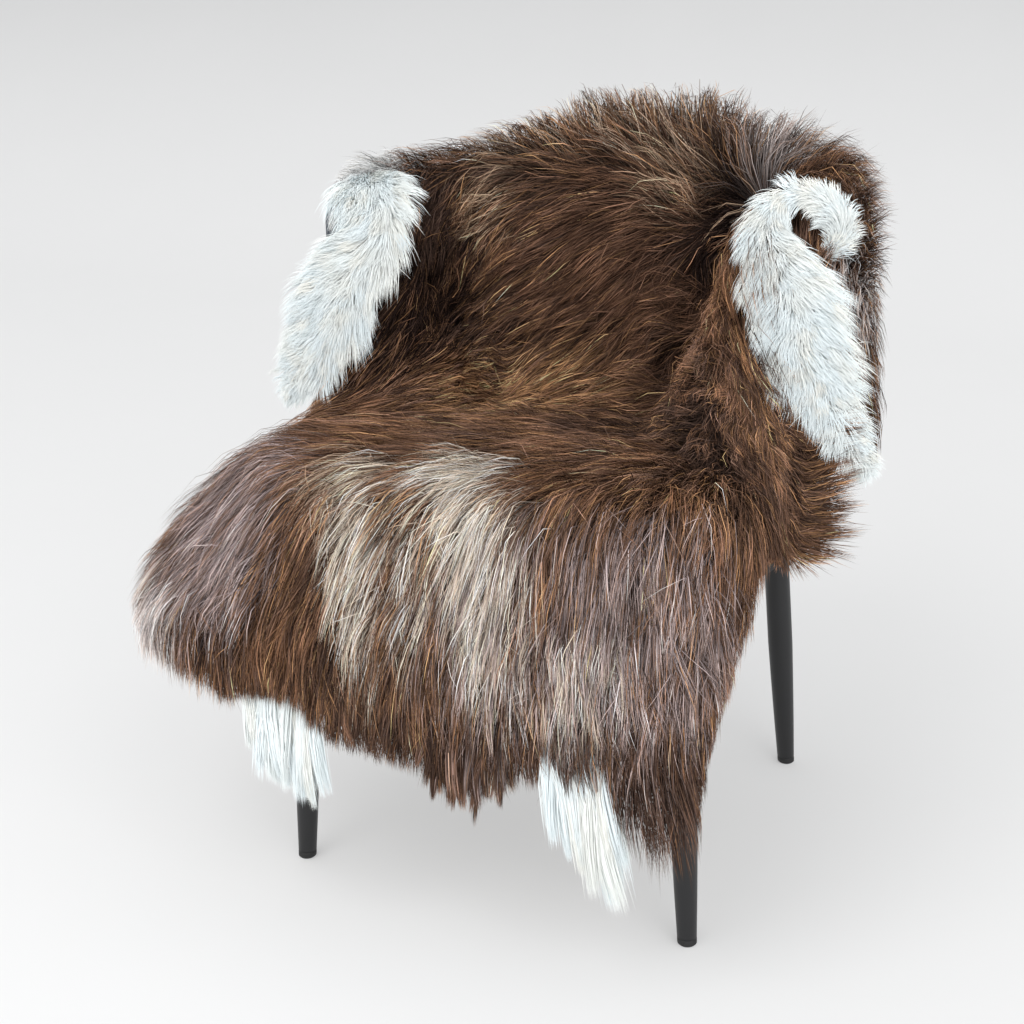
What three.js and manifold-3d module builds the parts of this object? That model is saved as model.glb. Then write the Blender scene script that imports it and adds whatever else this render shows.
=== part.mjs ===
// A long-haired sheepskin laid over an upholstered tub chair, in millimetres, +Z up.
// The chair faces -Y. The skin is one solid of hide and pile with its two fore shanks.
// Narrow bands along its hem carry the loose locks of wool that hang past it.
import * as THREE from "three";
import Module from "manifold-3d";

const wasm = await Module();
wasm.setup();

// Driving dimensions of the chair
const SEAT = { top: 450, bottom: 372, front: -250, half: 236, corner: 62, rearInset: 25 };
const WALL = { halfWidth: 262, depth: 208, centreY: 15, power: 2.5, thick: 44, end: -2, soft: 15 };
const RIM = { wing: 700, back: 746 };
const BASE = { top: 371.7, bottom: 358, inset: 8 };
const GAP = 0.3;

// Driving dimensions of the legs
const FOOT = { frontX: 225, rearX: 210, frontY: -210, rearY: 210 };
const LEG = { footRadius: 10.2, topRadius: 14.5, taperTop: 165, flangeRadius: 27, flangeThick: 4 };
const SPLAY = { side: 0.05, front: 0.03, rear: 0.09 };
const GLIDE = { height: 9, flatRadius: 8 };

// Driving dimensions of the skin
const CLEAR = 0.6;
const FLAP = 285;
const SPINE_LENGTH = 1178;
const GRID = { across: 34, along: 50 };
const HEM_PILE = 20;
const PILE = { back: 38, seat: 44, tuft: 38 };
const SHANK_PILE = 24;
const HEM = { gap: 0.6, band: 7 };

const clamp01 = (t) => Math.min(1, Math.max(0, t));
const mix = (a, b, t) => a + (b - a) * t;
const smoothstep = (from, to, x) => {
  const t = clamp01((x - from) / (to - from));
  return t * t * (3 - 2 * t);
};
const softMax = (a, b, width) => {
  const h = clamp01(0.5 + (0.5 * (a - b)) / width);
  return b + (a - b) * h + width * h * (1 - h);
};
// How far a line has fallen that leaves the level with a rounded shoulder
const shoulder = (distance, radius, slope) => {
  const t = Math.max(0, distance);
  return slope * (Math.sqrt(t * t + radius * radius) - radius);
};

// Height of the wall's rim, lowest at the wings and highest at the middle of the back
const rimHeight = (x) => mix(RIM.back, RIM.wing, smoothstep(0, WALL.halfWidth, Math.abs(x)));

// How far a plan point lies outside the wall's middle line, negative on the seat's side
function wallOffset(x, y) {
  const across = Math.abs(x) / WALL.halfWidth;
  const back = Math.max(0, y - WALL.centreY) / WALL.depth;
  const share = (across ** WALL.power + back ** WALL.power) ** (1 / WALL.power);
  return (share - 1) * (back > across ? WALL.depth : WALL.halfWidth);
}

// How far a plan point lies outside the seat's outline, and how much of that is to the front
function seatOffset(x, y) {
  const side = Math.abs(x) - (SEAT.half - SEAT.corner);
  const front = SEAT.front + SEAT.corner - y;
  const outside = Math.hypot(Math.max(0, side), Math.max(0, front));
  const frontShare = outside > 0 ? (Math.max(0, front) / outside) ** 4 : 0;
  return { distance: outside + Math.min(0, Math.max(side, front)) - SEAT.corner, frontShare };
}

// Height of the laid skin's leather side over a plan point
const DRAPE = {
  innerSlope: 3.2,
  outerSlope: 12,
  outerRadius: 22,
  rimRise: 11,
  rimInner: 15,
  rimOuter: 20,
  rimRadius: 30,
  wingFront: 2,
  wingSlope: 4.4,
  seatRadius: 34,
  frontSlope: 4.6,
  leftSlope: 1.15,
  rightSlope: 3,
  blend: 110,
};
function drapeHeight(x, y) {
  const { distance, frontShare } = seatOffset(x, y);
  const sideSlope = x < 0 ? DRAPE.leftSlope : DRAPE.rightSlope;
  const slope = mix(sideSlope, DRAPE.frontSlope, frontShare);
  const seat = SEAT.top + CLEAR - shoulder(distance + 2, DRAPE.seatRadius, slope);
  const offset = wallOffset(x, y);
  const inner = shoulder(-offset - DRAPE.rimInner, DRAPE.rimRadius, DRAPE.innerSlope);
  const outer = shoulder(offset - DRAPE.rimOuter, DRAPE.outerRadius, DRAPE.outerSlope);
  const before = shoulder(DRAPE.wingFront - y, DRAPE.rimRadius, DRAPE.wingSlope);
  const wall = rimHeight(x) + DRAPE.rimRise - inner - outer - before;
  return softMax(seat, wall, DRAPE.blend);
}

// Sections across the skin, by how far along the spine from the neck's end they lie.
// Each runs from the spine to the left and right hem, whose plan places stand here.
// wrap is how far the right end then turns outward, round the front of the wing.
const SECTIONS = [
  { name: "neck end", at: 0, leftX: -85, leftY: 281.4, rightX: 95, rightY: 282.2, wrap: 0 },
  { name: "neck", at: 60, leftX: -140, leftY: 262.8, rightX: 150, rightY: 263.2, wrap: 0 },
  { name: "nape", at: 120, leftX: -225, leftY: 217, rightX: 238, rightY: 222, wrap: 0 },
  { name: "flap", at: 180, leftX: -284, leftY: 125, rightX: 322, rightY: 70, wrap: 0 },
  { name: "shoulder", at: 235, leftX: -297, leftY: 45, rightX: 324, rightY: -12, wrap: 0 },
  { name: "rim", at: 285, leftX: -260, leftY: 14, rightX: 264, rightY: 12, wrap: 0 },
  { name: "back", at: 420, leftX: -236, leftY: -38, rightX: 238, rightY: -40, wrap: 44 },
  { name: "crease", at: 550, leftX: -250, leftY: -76, rightX: 252, rightY: -74, wrap: 44 },
  { name: "seat", at: 670, leftX: -288, leftY: -114, rightX: 264, rightY: -104, wrap: 20 },
  { name: "lap", at: 810, leftX: -322, leftY: -168, rightX: 268, rightY: -142, wrap: 4 },
  { name: "brink", at: 940, leftX: -356, leftY: -220, rightX: 270, rightY: -190, wrap: 0 },
  { name: "haunch", at: 1060, leftX: -378, leftY: -264, rightX: 276, rightY: -240, wrap: 0 },
  { name: "rump", at: 1178, leftX: -342, leftY: -304, rightX: 266, rightY: -296, wrap: 0 },
];

// A column of the table, joined smoothly between its rows
function sectionAt(distance, column) {
  const last = SECTIONS.length - 1;
  let i = 0;
  while (i < last - 1 && SECTIONS[i + 1].at < distance) i += 1;
  const before = SECTIONS[Math.max(0, i - 1)];
  const [a, b] = [SECTIONS[i], SECTIONS[i + 1]];
  const after = SECTIONS[Math.min(last, i + 2)];
  const span = b.at - a.at;
  const t = clamp01((distance - a.at) / span);
  const slopeA = ((b[column] - before[column]) / (b.at - before.at)) * span;
  const slopeB = ((after[column] - a[column]) / (after.at - a.at)) * span;
  const t2 = t * t;
  const t3 = t2 * t;
  return (
    (2 * t3 - 3 * t2 + 1) * a[column] +
    (t3 - 2 * t2 + t) * slopeA +
    (3 * t2 - 2 * t3) * b[column] +
    (t3 - t2) * slopeB
  );
}

// Points of a plan curve laid on the drape, with the way travelled up to each
function layPath(planAt, end, steps = 400) {
  const path = [];
  let travelled = 0;
  for (let k = 0; k <= steps; k += 1) {
    const { x, y } = planAt((end * k) / steps);
    const z = drapeHeight(x, y);
    const before = path[k - 1];
    if (before) travelled += Math.hypot(x - before.x, y - before.y, z - before.z);
    path.push({ x, y, z, travelled });
  }
  return path;
}
function alongPath(path, distance) {
  let low = 0;
  let high = path.length - 1;
  while (high - low > 1) {
    const middle = (low + high) >> 1;
    if (path[middle].travelled > distance) high = middle;
    else low = middle;
  }
  const [a, b] = [path[low], path[high]];
  const t = clamp01((distance - a.travelled) / Math.max(1e-9, b.travelled - a.travelled));
  return new THREE.Vector3(mix(a.x, b.x, t), mix(a.y, b.y, t), mix(a.z, b.z, t));
}

// The spine: up the outside of the back, over the crest, down to the seat and over its front
const crest = WALL.centreY + WALL.depth;
const overBack = layPath((t) => ({ x: 0, y: crest + t }), 60);
const overSeat = layPath((t) => ({ x: 0, y: crest - t }), 600, 2000);
const spineAt = (distance) =>
  distance < FLAP ? alongPath(overBack, FLAP - distance) : alongPath(overSeat, distance - FLAP);

// One section's plan curve: a rounded quarter that leaves the spine sideways
function sectionPlan(spineY, endX, endY, wrap) {
  const square = Math.max(smoothstep(20, 160, spineY), smoothstep(-200, -300, spineY));
  const power = mix(1, 2 / WALL.power, square);
  return (share) => {
    const angle = (share * Math.PI) / 2;
    const forward = 1 - Math.max(0, Math.cos(angle)) ** power;
    const turn = wrap * smoothstep(0.88, 1, share);
    return { x: endX * Math.sin(angle) ** power + turn, y: mix(spineY, endY, forward) };
  };
}

// The leather side of the skin: sections from the neck's end to the rump, each from left to right
function layLeather() {
  const rows = [];
  const half = GRID.across / 2;
  for (let j = 0; j <= GRID.along; j += 1) {
    const distance = (SPINE_LENGTH * j) / GRID.along;
    const spineY = spineAt(distance).y;
    const arm = (side) => {
      const [endX, endY] = [sectionAt(distance, `${side}X`), sectionAt(distance, `${side}Y`)];
      const wrap = side === "right" ? Math.max(0, sectionAt(distance, "wrap")) : 0;
      const plan = sectionPlan(spineY, endX, endY, wrap);
      const path = layPath(plan, 1);
      const length = path[path.length - 1].travelled;
      return Array.from({ length: half + 1 }, (_, i) => alongPath(path, (length * i) / half));
    };
    rows.push([...arm("left").reverse(), ...arm("right").slice(1)]);
  }
  return rows;
}
// Evens out a grid: each point moves to the middle of its neighbours, then settles.
// Rim points have only neighbours along the rim, and stay put after the first passes.
function relax(rows, passes, rimPasses, settle) {
  let grid = rows;
  const [lastRow, lastColumn] = [rows.length - 1, rows[0].length - 1];
  for (let pass = 0; pass < passes; pass += 1) {
    grid = grid.map((row, j) =>
      row.map((p, i) => {
        const [endRow, endColumn] = [j % lastRow === 0, i % lastColumn === 0];
        if ((endRow && endColumn) || ((endRow || endColumn) && pass >= rimPasses)) return p;
        const near = [];
        if (!endRow) near.push(grid[j - 1][i], grid[j + 1][i]);
        if (!endColumn) near.push(row[i - 1], row[i + 1]);
        const middle = near.reduce((sum, q) => sum.add(q), new THREE.Vector3());
        return settle(p.clone().lerp(middle.divideScalar(near.length), 0.7));
      }),
    );
  }
  return grid;
}
// The drape's slopes at a plan point
function drapeSlopes(x, y) {
  const step = 0.5;
  const slopeX = (drapeHeight(x + step, y) - drapeHeight(x - step, y)) / (2 * step);
  const slopeY = (drapeHeight(x, y + step) - drapeHeight(x, y - step)) / (2 * step);
  return [slopeX, slopeY];
}
// Brings a point back onto the drape along the drape's own slope
function ontoDrape(p) {
  for (let k = 0; k < 3; k += 1) {
    const [slopeX, slopeY] = drapeSlopes(p.x, p.y);
    const above = (p.z - drapeHeight(p.x, p.y)) / (1 + slopeX * slopeX + slopeY * slopeY);
    p.add(new THREE.Vector3(above * slopeX, above * slopeY, -above));
  }
  return p;
}
const leather = relax(layLeather(), 70, 10, ontoDrape);

// Lumps of the pile, soft tufts in a loose brick pattern
function lump(i, j) {
  const inward = smoothstep(0, 4, Math.min(i, GRID.across - i, j, GRID.along - j));
  const tuft = Math.sin(i * 1.9 + 0.7 * Math.sin(j * 0.9)) * Math.sin(j * 1.3 + 1.1 * Math.sin(i * 0.6));
  return inward * (4 * tuft + 3 * Math.sin(i * 0.83 + j * 1.07));
}
function pileAt(i, j) {
  const inward = smoothstep(0, 4, Math.min(i, GRID.across - i, j, GRID.along - j));
  const along = j / GRID.along;
  const across = (2 * i) / GRID.across - 1;
  const overRim = smoothstep(0.42, 0.28, along) * smoothstep(0.13, 0.23, along);
  const standing = smoothstep(-0.35, 0.15, across) * overRim;
  const full = mix(PILE.back, PILE.seat, smoothstep(0.42, 0.65, along)) + PILE.tuft * standing;
  return mix(HEM_PILE, full, inward);
}

// Directions from the leather to the pile's face, evened out so that they don't cross in hollows
function pileDirections(rows) {
  let directions = rows.map((row) =>
    row.map((p) => {
      const [slopeX, slopeY] = drapeSlopes(p.x, p.y);
      return new THREE.Vector3(-slopeX, -slopeY, 1).normalize();
    }),
  );
  for (let pass = 0; pass < 5; pass += 1) {
    directions = directions.map((row, j) =>
      row.map((_, i) => {
        const sum = new THREE.Vector3();
        for (let dj = -1; dj <= 1; dj += 1) {
          for (let di = -1; di <= 1; di += 1) {
            sum.add(directions[j + dj]?.[i + di] ?? directions[j][i]);
          }
        }
        return sum.normalize();
      }),
    );
  }
  return directions;
}
const directions = pileDirections(leather);
const raised = leather.map((row, j) =>
  row.map((p, i) => p.clone().addScaledVector(directions[j][i], pileAt(i, j))),
);
const evened = relax(raised, 5, 0, (p) => p);
const pile = evened.map((row, j) =>
  row.map((p, i) => p.clone().addScaledVector(directions[j][i], lump(i, j))),
);

function closed(points, index) {
  const geometry = new THREE.BufferGeometry();
  const position = new Float32Array(points.flatMap((p) => [p.x, p.y, p.z]));
  geometry.setAttribute("position", new THREE.BufferAttribute(position, 3));
  geometry.setIndex(index);
  geometry.computeVertexNormals();
  return geometry;
}

// A closed solid between an outer and an inner grid of the same size
function slab(outer, inner) {
  const [rowCount, columnCount] = [outer.length, outer[0].length];
  const index = [];
  const at = (layer, j, i) => (layer * rowCount + j) * columnCount + i;
  const quad = (a, b, c, d) => index.push(a, b, c, a, c, d);
  const lastRow = rowCount - 1;
  const lastColumn = columnCount - 1;
  for (let j = 0; j < lastRow; j += 1) {
    for (let i = 0; i < lastColumn; i += 1) {
      quad(at(0, j, i), at(0, j + 1, i), at(0, j + 1, i + 1), at(0, j, i + 1));
      quad(at(1, j, i), at(1, j, i + 1), at(1, j + 1, i + 1), at(1, j + 1, i));
    }
    quad(at(0, j, 0), at(1, j, 0), at(1, j + 1, 0), at(0, j + 1, 0));
    quad(at(0, j, lastColumn), at(0, j + 1, lastColumn), at(1, j + 1, lastColumn), at(1, j, lastColumn));
  }
  for (let i = 0; i < lastColumn; i += 1) {
    quad(at(0, 0, i), at(0, 0, i + 1), at(1, 0, i + 1), at(1, 0, i));
    quad(at(0, lastRow, i), at(1, lastRow, i), at(1, lastRow, i + 1), at(0, lastRow, i + 1));
  }
  return closed([...outer.flat(), ...inner.flat()], index);
}

// A ring of points laid into its own plane, for closing it
function flatten(ring) {
  const middle = ring.reduce((sum, p) => sum.add(p), new THREE.Vector3()).divideScalar(ring.length);
  const normal = new THREE.Vector3();
  ring.forEach((p, i) => {
    const next = ring[(i + 1) % ring.length];
    normal.add(p.clone().sub(middle).cross(next.clone().sub(middle)));
  });
  const along = ring[0].clone().sub(middle).normalize();
  const aside = normal.normalize().clone().cross(along);
  return ring.map((p) => {
    const from = p.clone().sub(middle);
    return new THREE.Vector2(from.dot(along), from.dot(aside));
  });
}

// A closed solid from rings of equal point counts, counterclockwise seen from the last ring's end
function skinned(rings) {
  const count = rings[0].length;
  const index = [];
  for (let k = 0; k < rings.length - 1; k += 1) {
    for (let i = 0; i < count; i += 1) {
      const [a, b] = [k * count + i, k * count + ((i + 1) % count)];
      index.push(a, b, b + count, a, b + count, a + count);
    }
  }
  const last = (rings.length - 1) * count;
  for (const [a, b, c] of THREE.ShapeUtils.triangulateShape(flatten(rings[0]), [])) {
    index.push(a, c, b);
  }
  for (const [a, b, c] of THREE.ShapeUtils.triangulateShape(flatten(rings.at(-1)), [])) {
    index.push(last + a, last + b, last + c);
  }
  return closed(rings.flat(), index);
}

// Fore shanks: strips of skin with short pile that hang from the shoulders over the wings.
// Each row is a place on the strip's leather side, the way its pile faces, and its width.
const LEFT_SHANK = [
  { x: -224, y: 26, z: 712, nx: 0.1, ny: -0.2, nz: 1, width: 66 },
  { x: -226, y: -18, z: 710, nx: 0, ny: -0.5, nz: 0.87, width: 82 },
  { x: -224, y: -50, z: 680, nx: 0, ny: -0.95, nz: 0.35, width: 88 },
  { x: -228, y: -64, z: 622, nx: -0.1, ny: -1, nz: 0.18, width: 86 },
  { x: -244, y: -74, z: 562, nx: -0.15, ny: -1, nz: 0.2, width: 80 },
  { x: -262, y: -82, z: 512, nx: -0.2, ny: -1, nz: 0.25, width: 72 },
  { x: -274, y: -86, z: 484, nx: -0.25, ny: -1, nz: 0.3, width: 46 },
];
const RIGHT_SHANK = [
  { x: 304, y: -14, z: 664, nx: 0.6, ny: -0.8, nz: 0.2, width: 44 },
  { x: 298, y: -18, z: 704, nx: 0.4, ny: -0.6, nz: 0.7, width: 46 },
  { x: 270, y: -22, z: 722, nx: 0, ny: -0.5, nz: 0.87, width: 50 },
  { x: 240, y: -34, z: 706, nx: -0.2, ny: -0.8, nz: 0.55, width: 62 },
  { x: 240, y: -54, z: 658, nx: -0.2, ny: -1, nz: 0.25, width: 76 },
  { x: 264, y: -68, z: 604, nx: -0.1, ny: -1, nz: 0.2, width: 84 },
  { x: 296, y: -74, z: 552, nx: 0.05, ny: -1, nz: 0.25, width: 80 },
  { x: 326, y: -68, z: 506, nx: 0.15, ny: -1, nz: 0.25, width: 70 },
  { x: 342, y: -62, z: 480, nx: 0.2, ny: -1, nz: 0.3, width: 46 },
];
function shank(rows) {
  const centre = new THREE.CatmullRomCurve3(rows.map((r) => new THREE.Vector3(r.x, r.y, r.z)));
  const facing = new THREE.CatmullRomCurve3(rows.map((r) => new THREE.Vector3(r.nx, r.ny, r.nz)));
  const width = new THREE.CatmullRomCurve3(rows.map((r, k) => new THREE.Vector3(r.width, k, 0)));
  const [inner, outer] = [[], []];
  const stations = 16;
  for (let k = 0; k <= stations; k += 1) {
    const t = k / stations;
    const tangent = centre.getTangent(t);
    const normal = facing.getPoint(t).normalize();
    const aside = normal.clone().cross(tangent).normalize();
    const half = width.getPoint(t).x / 2;
    const place = (i, depth) => {
      const across = -1 + i / 2;
      const point = centre.getPoint(t).addScaledVector(aside, across * half);
      return point.addScaledVector(normal, depth * (1 - 0.55 * across * across));
    };
    const columns = [0, 1, 2, 3, 4];
    inner.push(columns.map((i) => place(i, 0)));
    outer.push(columns.map((i) => place(i, SHANK_PILE + 3 * Math.sin(k * 1.7 + i * 2.3))));
  }
  return slab(outer, inner);
}

function toManifold(geometry) {
  const mesh = new wasm.Mesh({
    numProp: 3,
    vertProperties: new Float32Array(geometry.getAttribute("position").array),
    triVerts: new Uint32Array(geometry.getIndex().array),
  });
  mesh.merge();
  return new wasm.Manifold(mesh);
}
function fromManifold(solid) {
  const mesh = solid.getMesh();
  const points = [];
  for (let i = 0; i < mesh.vertProperties.length; i += mesh.numProp) {
    points.push(new THREE.Vector3(...mesh.vertProperties.slice(i, i + 3)));
  }
  return closed(points, Array.from(mesh.triVerts));
}

const COLOURS = {
  wool: { color: 0x5a4032, roughness: 0.9 },
  whiteWool: { color: 0xe9ecea, roughness: 0.9 },
  upholstery: { color: 0x2c3038, roughness: 0.85 },
  metal: { color: 0x0c0c0d, roughness: 0.45, metalness: 0.4 },
  board: { color: 0x17181a, roughness: 0.7 },
  plastic: { color: 0x101011, roughness: 0.6 },
};

const part = new THREE.Group();
function add(name, geometry, colour) {
  const mesh = new THREE.Mesh(geometry, new THREE.MeshStandardMaterial(COLOURS[colour]));
  mesh.name = name;
  part.add(mesh);
}

// Plan points round the back, from the left wing to the right, so far outside the wall's middle
function backCurve(outside, count) {
  const points = [];
  const power = 2 / WALL.power;
  for (let k = 0; k <= count; k += 1) {
    const angle = -Math.PI / 2 + (Math.PI * k) / count;
    const x = Math.sign(Math.sin(angle)) * Math.abs(Math.sin(angle)) ** power;
    const y = k % count === 0 ? 0 : Math.cos(angle) ** power;
    points.push([(WALL.halfWidth + outside) * x, WALL.centreY + (WALL.depth + outside) * y]);
  }
  return points;
}

// The wall: a padded shell round the seat, swept from the left wing over the back to the right
function wallRings() {
  const wing = [0, 0.35, 1].map((share) => WALL.end + WALL.soft * share);
  const left = wing.map((y) => [-WALL.halfWidth, y]);
  const right = wing.map((y) => [WALL.halfWidth, y]).reverse();
  const middle = [...left, ...backCurve(0, 26), ...right];
  const last = middle.length - 1;
  return middle.map(([x, y], k) => {
    const [before, after] = [middle[Math.max(0, k - 1)], middle[Math.min(last, k + 1)]];
    const run = Math.hypot(after[0] - before[0], after[1] - before[1]);
    const out = [-(after[1] - before[1]) / run, (after[0] - before[0]) / run];
    const inset = [9, 3, 0][Math.min(2, k, last - k)];
    const half = WALL.thick / 2 - inset;
    const rim = rimHeight(x) - inset;
    const profile = [
      [-half, SEAT.bottom],
      [half, SEAT.bottom],
      [half, rim - WALL.soft],
      [half - WALL.soft * 0.3, rim - WALL.soft * 0.3],
      [half - WALL.soft * 0.8, rim],
      [-half + WALL.soft * 0.8, rim],
      [-half + WALL.soft * 0.3, rim - WALL.soft * 0.3],
      [-half, rim - WALL.soft],
    ];
    return profile.map(([offset, z]) => new THREE.Vector3(x + out[0] * offset, y + out[1] * offset, z));
  });
}

// The seat's two front corners in plan, counterclockwise from the left
function frontCorners(inset) {
  const points = [];
  const radius = SEAT.corner - inset;
  for (const [side, start] of [[-1, Math.PI], [1, 1.5 * Math.PI]]) {
    for (let k = 0; k <= 5; k += 1) {
      const angle = start + (Math.PI * k) / 10;
      const x = side * (SEAT.half - SEAT.corner) + radius * Math.cos(angle);
      points.push([x, SEAT.front + SEAT.corner + radius * Math.sin(angle)]);
    }
  }
  return points;
}
const seatOutline = (inset) => [
  ...frontCorners(inset),
  ...backCurve(-SEAT.rearInset - inset, 20).reverse(),
];
const baseOutline = (inset) => [
  ...frontCorners(inset),
  ...backCurve(WALL.thick / 2 - inset, 20).reverse(),
];
function plate(layers, outline) {
  return skinned(layers.map(([z, inset]) => outline(inset).map(([x, y]) => new THREE.Vector3(x, y, z))));
}

// A leg: level rings whose middle moves in from the foot to the top
function legRings(foot, sizes) {
  const inX = -Math.sign(foot.x) * SPLAY.side;
  const inY = foot.y < 0 ? SPLAY.front : -SPLAY.rear;
  return sizes.map(([z, radius]) =>
    Array.from({ length: 20 }, (_, i) => {
      const angle = (2 * Math.PI * i) / 20;
      const [x, y] = [foot.x + inX * z, foot.y + inY * z];
      return new THREE.Vector3(x + radius * Math.cos(angle), y + radius * Math.sin(angle), z);
    }),
  );
}

add("seat_pad", plate([[372, 4], [377, 0], [430, 0], [443, 5], [450, 19]], seatOutline), "upholstery");
add("back_shell", skinned(wallRings()), "upholstery");
add("seat_base", plate([[BASE.bottom, BASE.inset], [BASE.top, BASE.inset]], baseOutline), "board");

const legTop = BASE.bottom - GAP;
const FEET = [
  { name: "front_left", x: -FOOT.frontX, y: FOOT.frontY },
  { name: "front_right", x: FOOT.frontX, y: FOOT.frontY },
  { name: "rear_right", x: FOOT.rearX, y: FOOT.rearY },
  { name: "rear_left", x: -FOOT.rearX, y: FOOT.rearY },
];
for (const foot of FEET) {
  const leg = [
    [GLIDE.height + GAP, LEG.footRadius],
    [LEG.taperTop, LEG.topRadius],
    [legTop - LEG.flangeThick, LEG.topRadius],
    [legTop - LEG.flangeThick, LEG.flangeRadius],
    [legTop, LEG.flangeRadius],
  ];
  const glide = [[0, GLIDE.flatRadius], [2, LEG.footRadius], [GLIDE.height, LEG.footRadius]];
  add(`leg_${foot.name}`, skinned(legRings(foot, leg)), "metal");
  add(`glide_${foot.name}`, skinned(legRings(foot, glide)), "plastic");
}

// The skin's outer face alone, without the hollows closed in between shank and wall
const joined = [LEFT_SHANK, RIGHT_SHANK].reduce(
  (solid, rows) => solid.add(toManifold(shank(rows))),
  toManifold(slab(pile, leather)),
);
const [skin] = joined.decompose().sort((a, b) => b.volume() - a.volume());
add("hide", fromManifold(skin), "wool");

// Runs of loose locks along the hem. edge, from and to say which of the skin's columns or rows
// they take, and span how many of these one lock takes.
const RUNS = [
  { name: "hem_front_left", edge: "front", from: 0, to: 6, span: 1, length: 34, sag: 0.6 },
  { name: "hind_tuft_left", edge: "front", from: 6, to: 11, span: 1, length: 92, sag: 0.9 },
  { name: "hem_front_middle", edge: "front", from: 11, to: 18, span: 1, length: 30, sag: 0.6 },
  { name: "tail", edge: "front", from: 18, to: 21, span: 1, length: 52, sag: 0.6 },
  { name: "hem_front_inner", edge: "front", from: 21, to: 24, span: 1, length: 34, sag: 0.6 },
  { name: "hind_tuft_right", edge: "front", from: 24, to: 30, span: 1, length: 124, sag: 0.7 },
  { name: "hem_front_right", edge: "front", from: 30, to: 34, span: 1, length: 62, sag: 0.6 },
  { name: "hem_left", edge: "left", from: 29, to: 50, span: 1, length: 26, sag: 0.4 },
  { name: "hem_right", edge: "right", from: 28, to: 50, span: 1, length: 20, sag: 0.6 },
  { name: "hem_outer_right", edge: "right", from: 0, to: 12, span: 1, length: 30, sag: 0.7 },
  { name: "hem_neck", edge: "neck", from: 0, to: 34, span: 2, length: 30, sag: 0.7 },
];

// The hem's leather point, pile point and outward way at a column or row of one edge
function hemStation(edge, k) {
  const last = GRID.along;
  const across = GRID.across;
  const [j, i, backJ, backI] = {
    front: [last, k, last - 1, k],
    neck: [0, k, 1, k],
    left: [k, 0, k, 1],
    right: [k, across, k, across - 1],
  }[edge];
  const out = leather[j][i].clone().sub(leather[backJ][backI]).normalize();
  return { leather: leather[j][i], pile: pile[j][i], out };
}

// A band along the hem whose lower face runs out into pointed locks side by side
function lockRun({ edge, from, to, span, length, sag }) {
  const stations = [];
  for (let k = from; k <= to; k += 1) stations.push(hemStation(edge, k));
  if (edge === "right" || edge === "neck") stations.reverse();
  const points = [];
  const index = [];
  const trim = 0.03;
  const last = stations.length - 1;
  stations.forEach((station, k) => {
    const neighbour = stations[k === 0 ? 1 : last - 1];
    const inset = k === 0 || k === last ? trim : 0;
    for (const depth of [HEM.gap, HEM.gap + HEM.band]) {
      for (const side of ["leather", "pile"]) {
        const point = station[side].clone().lerp(neighbour[side], inset);
        points.push(point.addScaledVector(station.out, depth));
      }
    }
  });
  const quad = (a, b, c, d) => index.push(a, c, b, a, d, c);
  for (let k = 0; k < last; k += 1) {
    const [a, b] = [4 * k, 4 * k + 4];
    quad(a, b, b + 1, a + 1);
    quad(a + 1, b + 1, b + 3, a + 3);
    quad(b, a, a + 2, b + 2);
  }
  for (let k = 0; k < last; k += span) {
    const rim = [];
    for (let n = k; n <= k + span; n += 1) rim.push(4 * n + 2);
    for (let n = k + span; n >= k; n -= 1) rim.push(4 * n + 3);
    const middle = rim.reduce((sum, n) => sum.add(points[n]), new THREE.Vector3());
    const way = stations[k].out.clone().lerp(new THREE.Vector3(0, 0, -1), sag).normalize();
    const reach = length * (1 + 0.22 * Math.sin(k * 2.4 + from));
    const tip = points.push(middle.divideScalar(rim.length).addScaledVector(way, reach)) - 1;
    rim.forEach((n, m) => index.push(n, rim[(m + 1) % rim.length], tip));
  }
  const end = 4 * last;
  quad(0, 1, 3, 2);
  quad(end, end + 2, end + 3, end + 1);
  return closed(points, index);
}
for (const run of RUNS) {
  add(run.name, lockRun(run), run.name.startsWith("hind_tuft") ? "whiteWool" : "wool");
}

// The part stands on the floor, with the middle of its plan over the origin
const middle = new THREE.Box3().setFromObject(part).getCenter(new THREE.Vector3());
for (const mesh of part.children) mesh.geometry.translate(-middle.x, -middle.y, 0);

export default part;
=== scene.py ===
import math

import bmesh
import bpy
import numpy as np
from mathutils import Matrix, Vector
from mathutils.kdtree import KDTree


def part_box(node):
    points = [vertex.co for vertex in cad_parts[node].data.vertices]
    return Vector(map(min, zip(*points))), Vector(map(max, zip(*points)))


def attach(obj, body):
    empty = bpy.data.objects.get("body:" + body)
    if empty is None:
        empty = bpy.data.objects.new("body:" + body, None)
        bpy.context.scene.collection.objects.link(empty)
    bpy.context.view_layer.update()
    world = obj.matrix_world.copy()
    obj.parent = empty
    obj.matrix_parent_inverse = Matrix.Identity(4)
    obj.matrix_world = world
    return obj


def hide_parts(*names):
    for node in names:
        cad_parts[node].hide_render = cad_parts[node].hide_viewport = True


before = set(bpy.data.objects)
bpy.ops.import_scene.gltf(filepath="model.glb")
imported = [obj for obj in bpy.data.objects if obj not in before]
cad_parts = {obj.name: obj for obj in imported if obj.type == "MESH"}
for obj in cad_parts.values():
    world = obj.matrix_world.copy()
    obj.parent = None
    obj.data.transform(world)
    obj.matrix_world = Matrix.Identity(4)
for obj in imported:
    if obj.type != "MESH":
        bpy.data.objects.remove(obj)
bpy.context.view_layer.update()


# Legs: four tapered steel tubes, each welded to a round plate that is screwed under the seat
# board. They lean outwards, the rear pair the most, and are powder coated satin black.
LEG_PROFILE = [(9.3, 10.2), (60, 11.9), (120, 13.5), (165, 14.5), (260, 14.5), (352.2, 14.6)]
PLATE_PROFILE = [(353.2, 16), (353.7, 26.2), (354.4, 27), (357, 27), (357.7, 26.2)]
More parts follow.
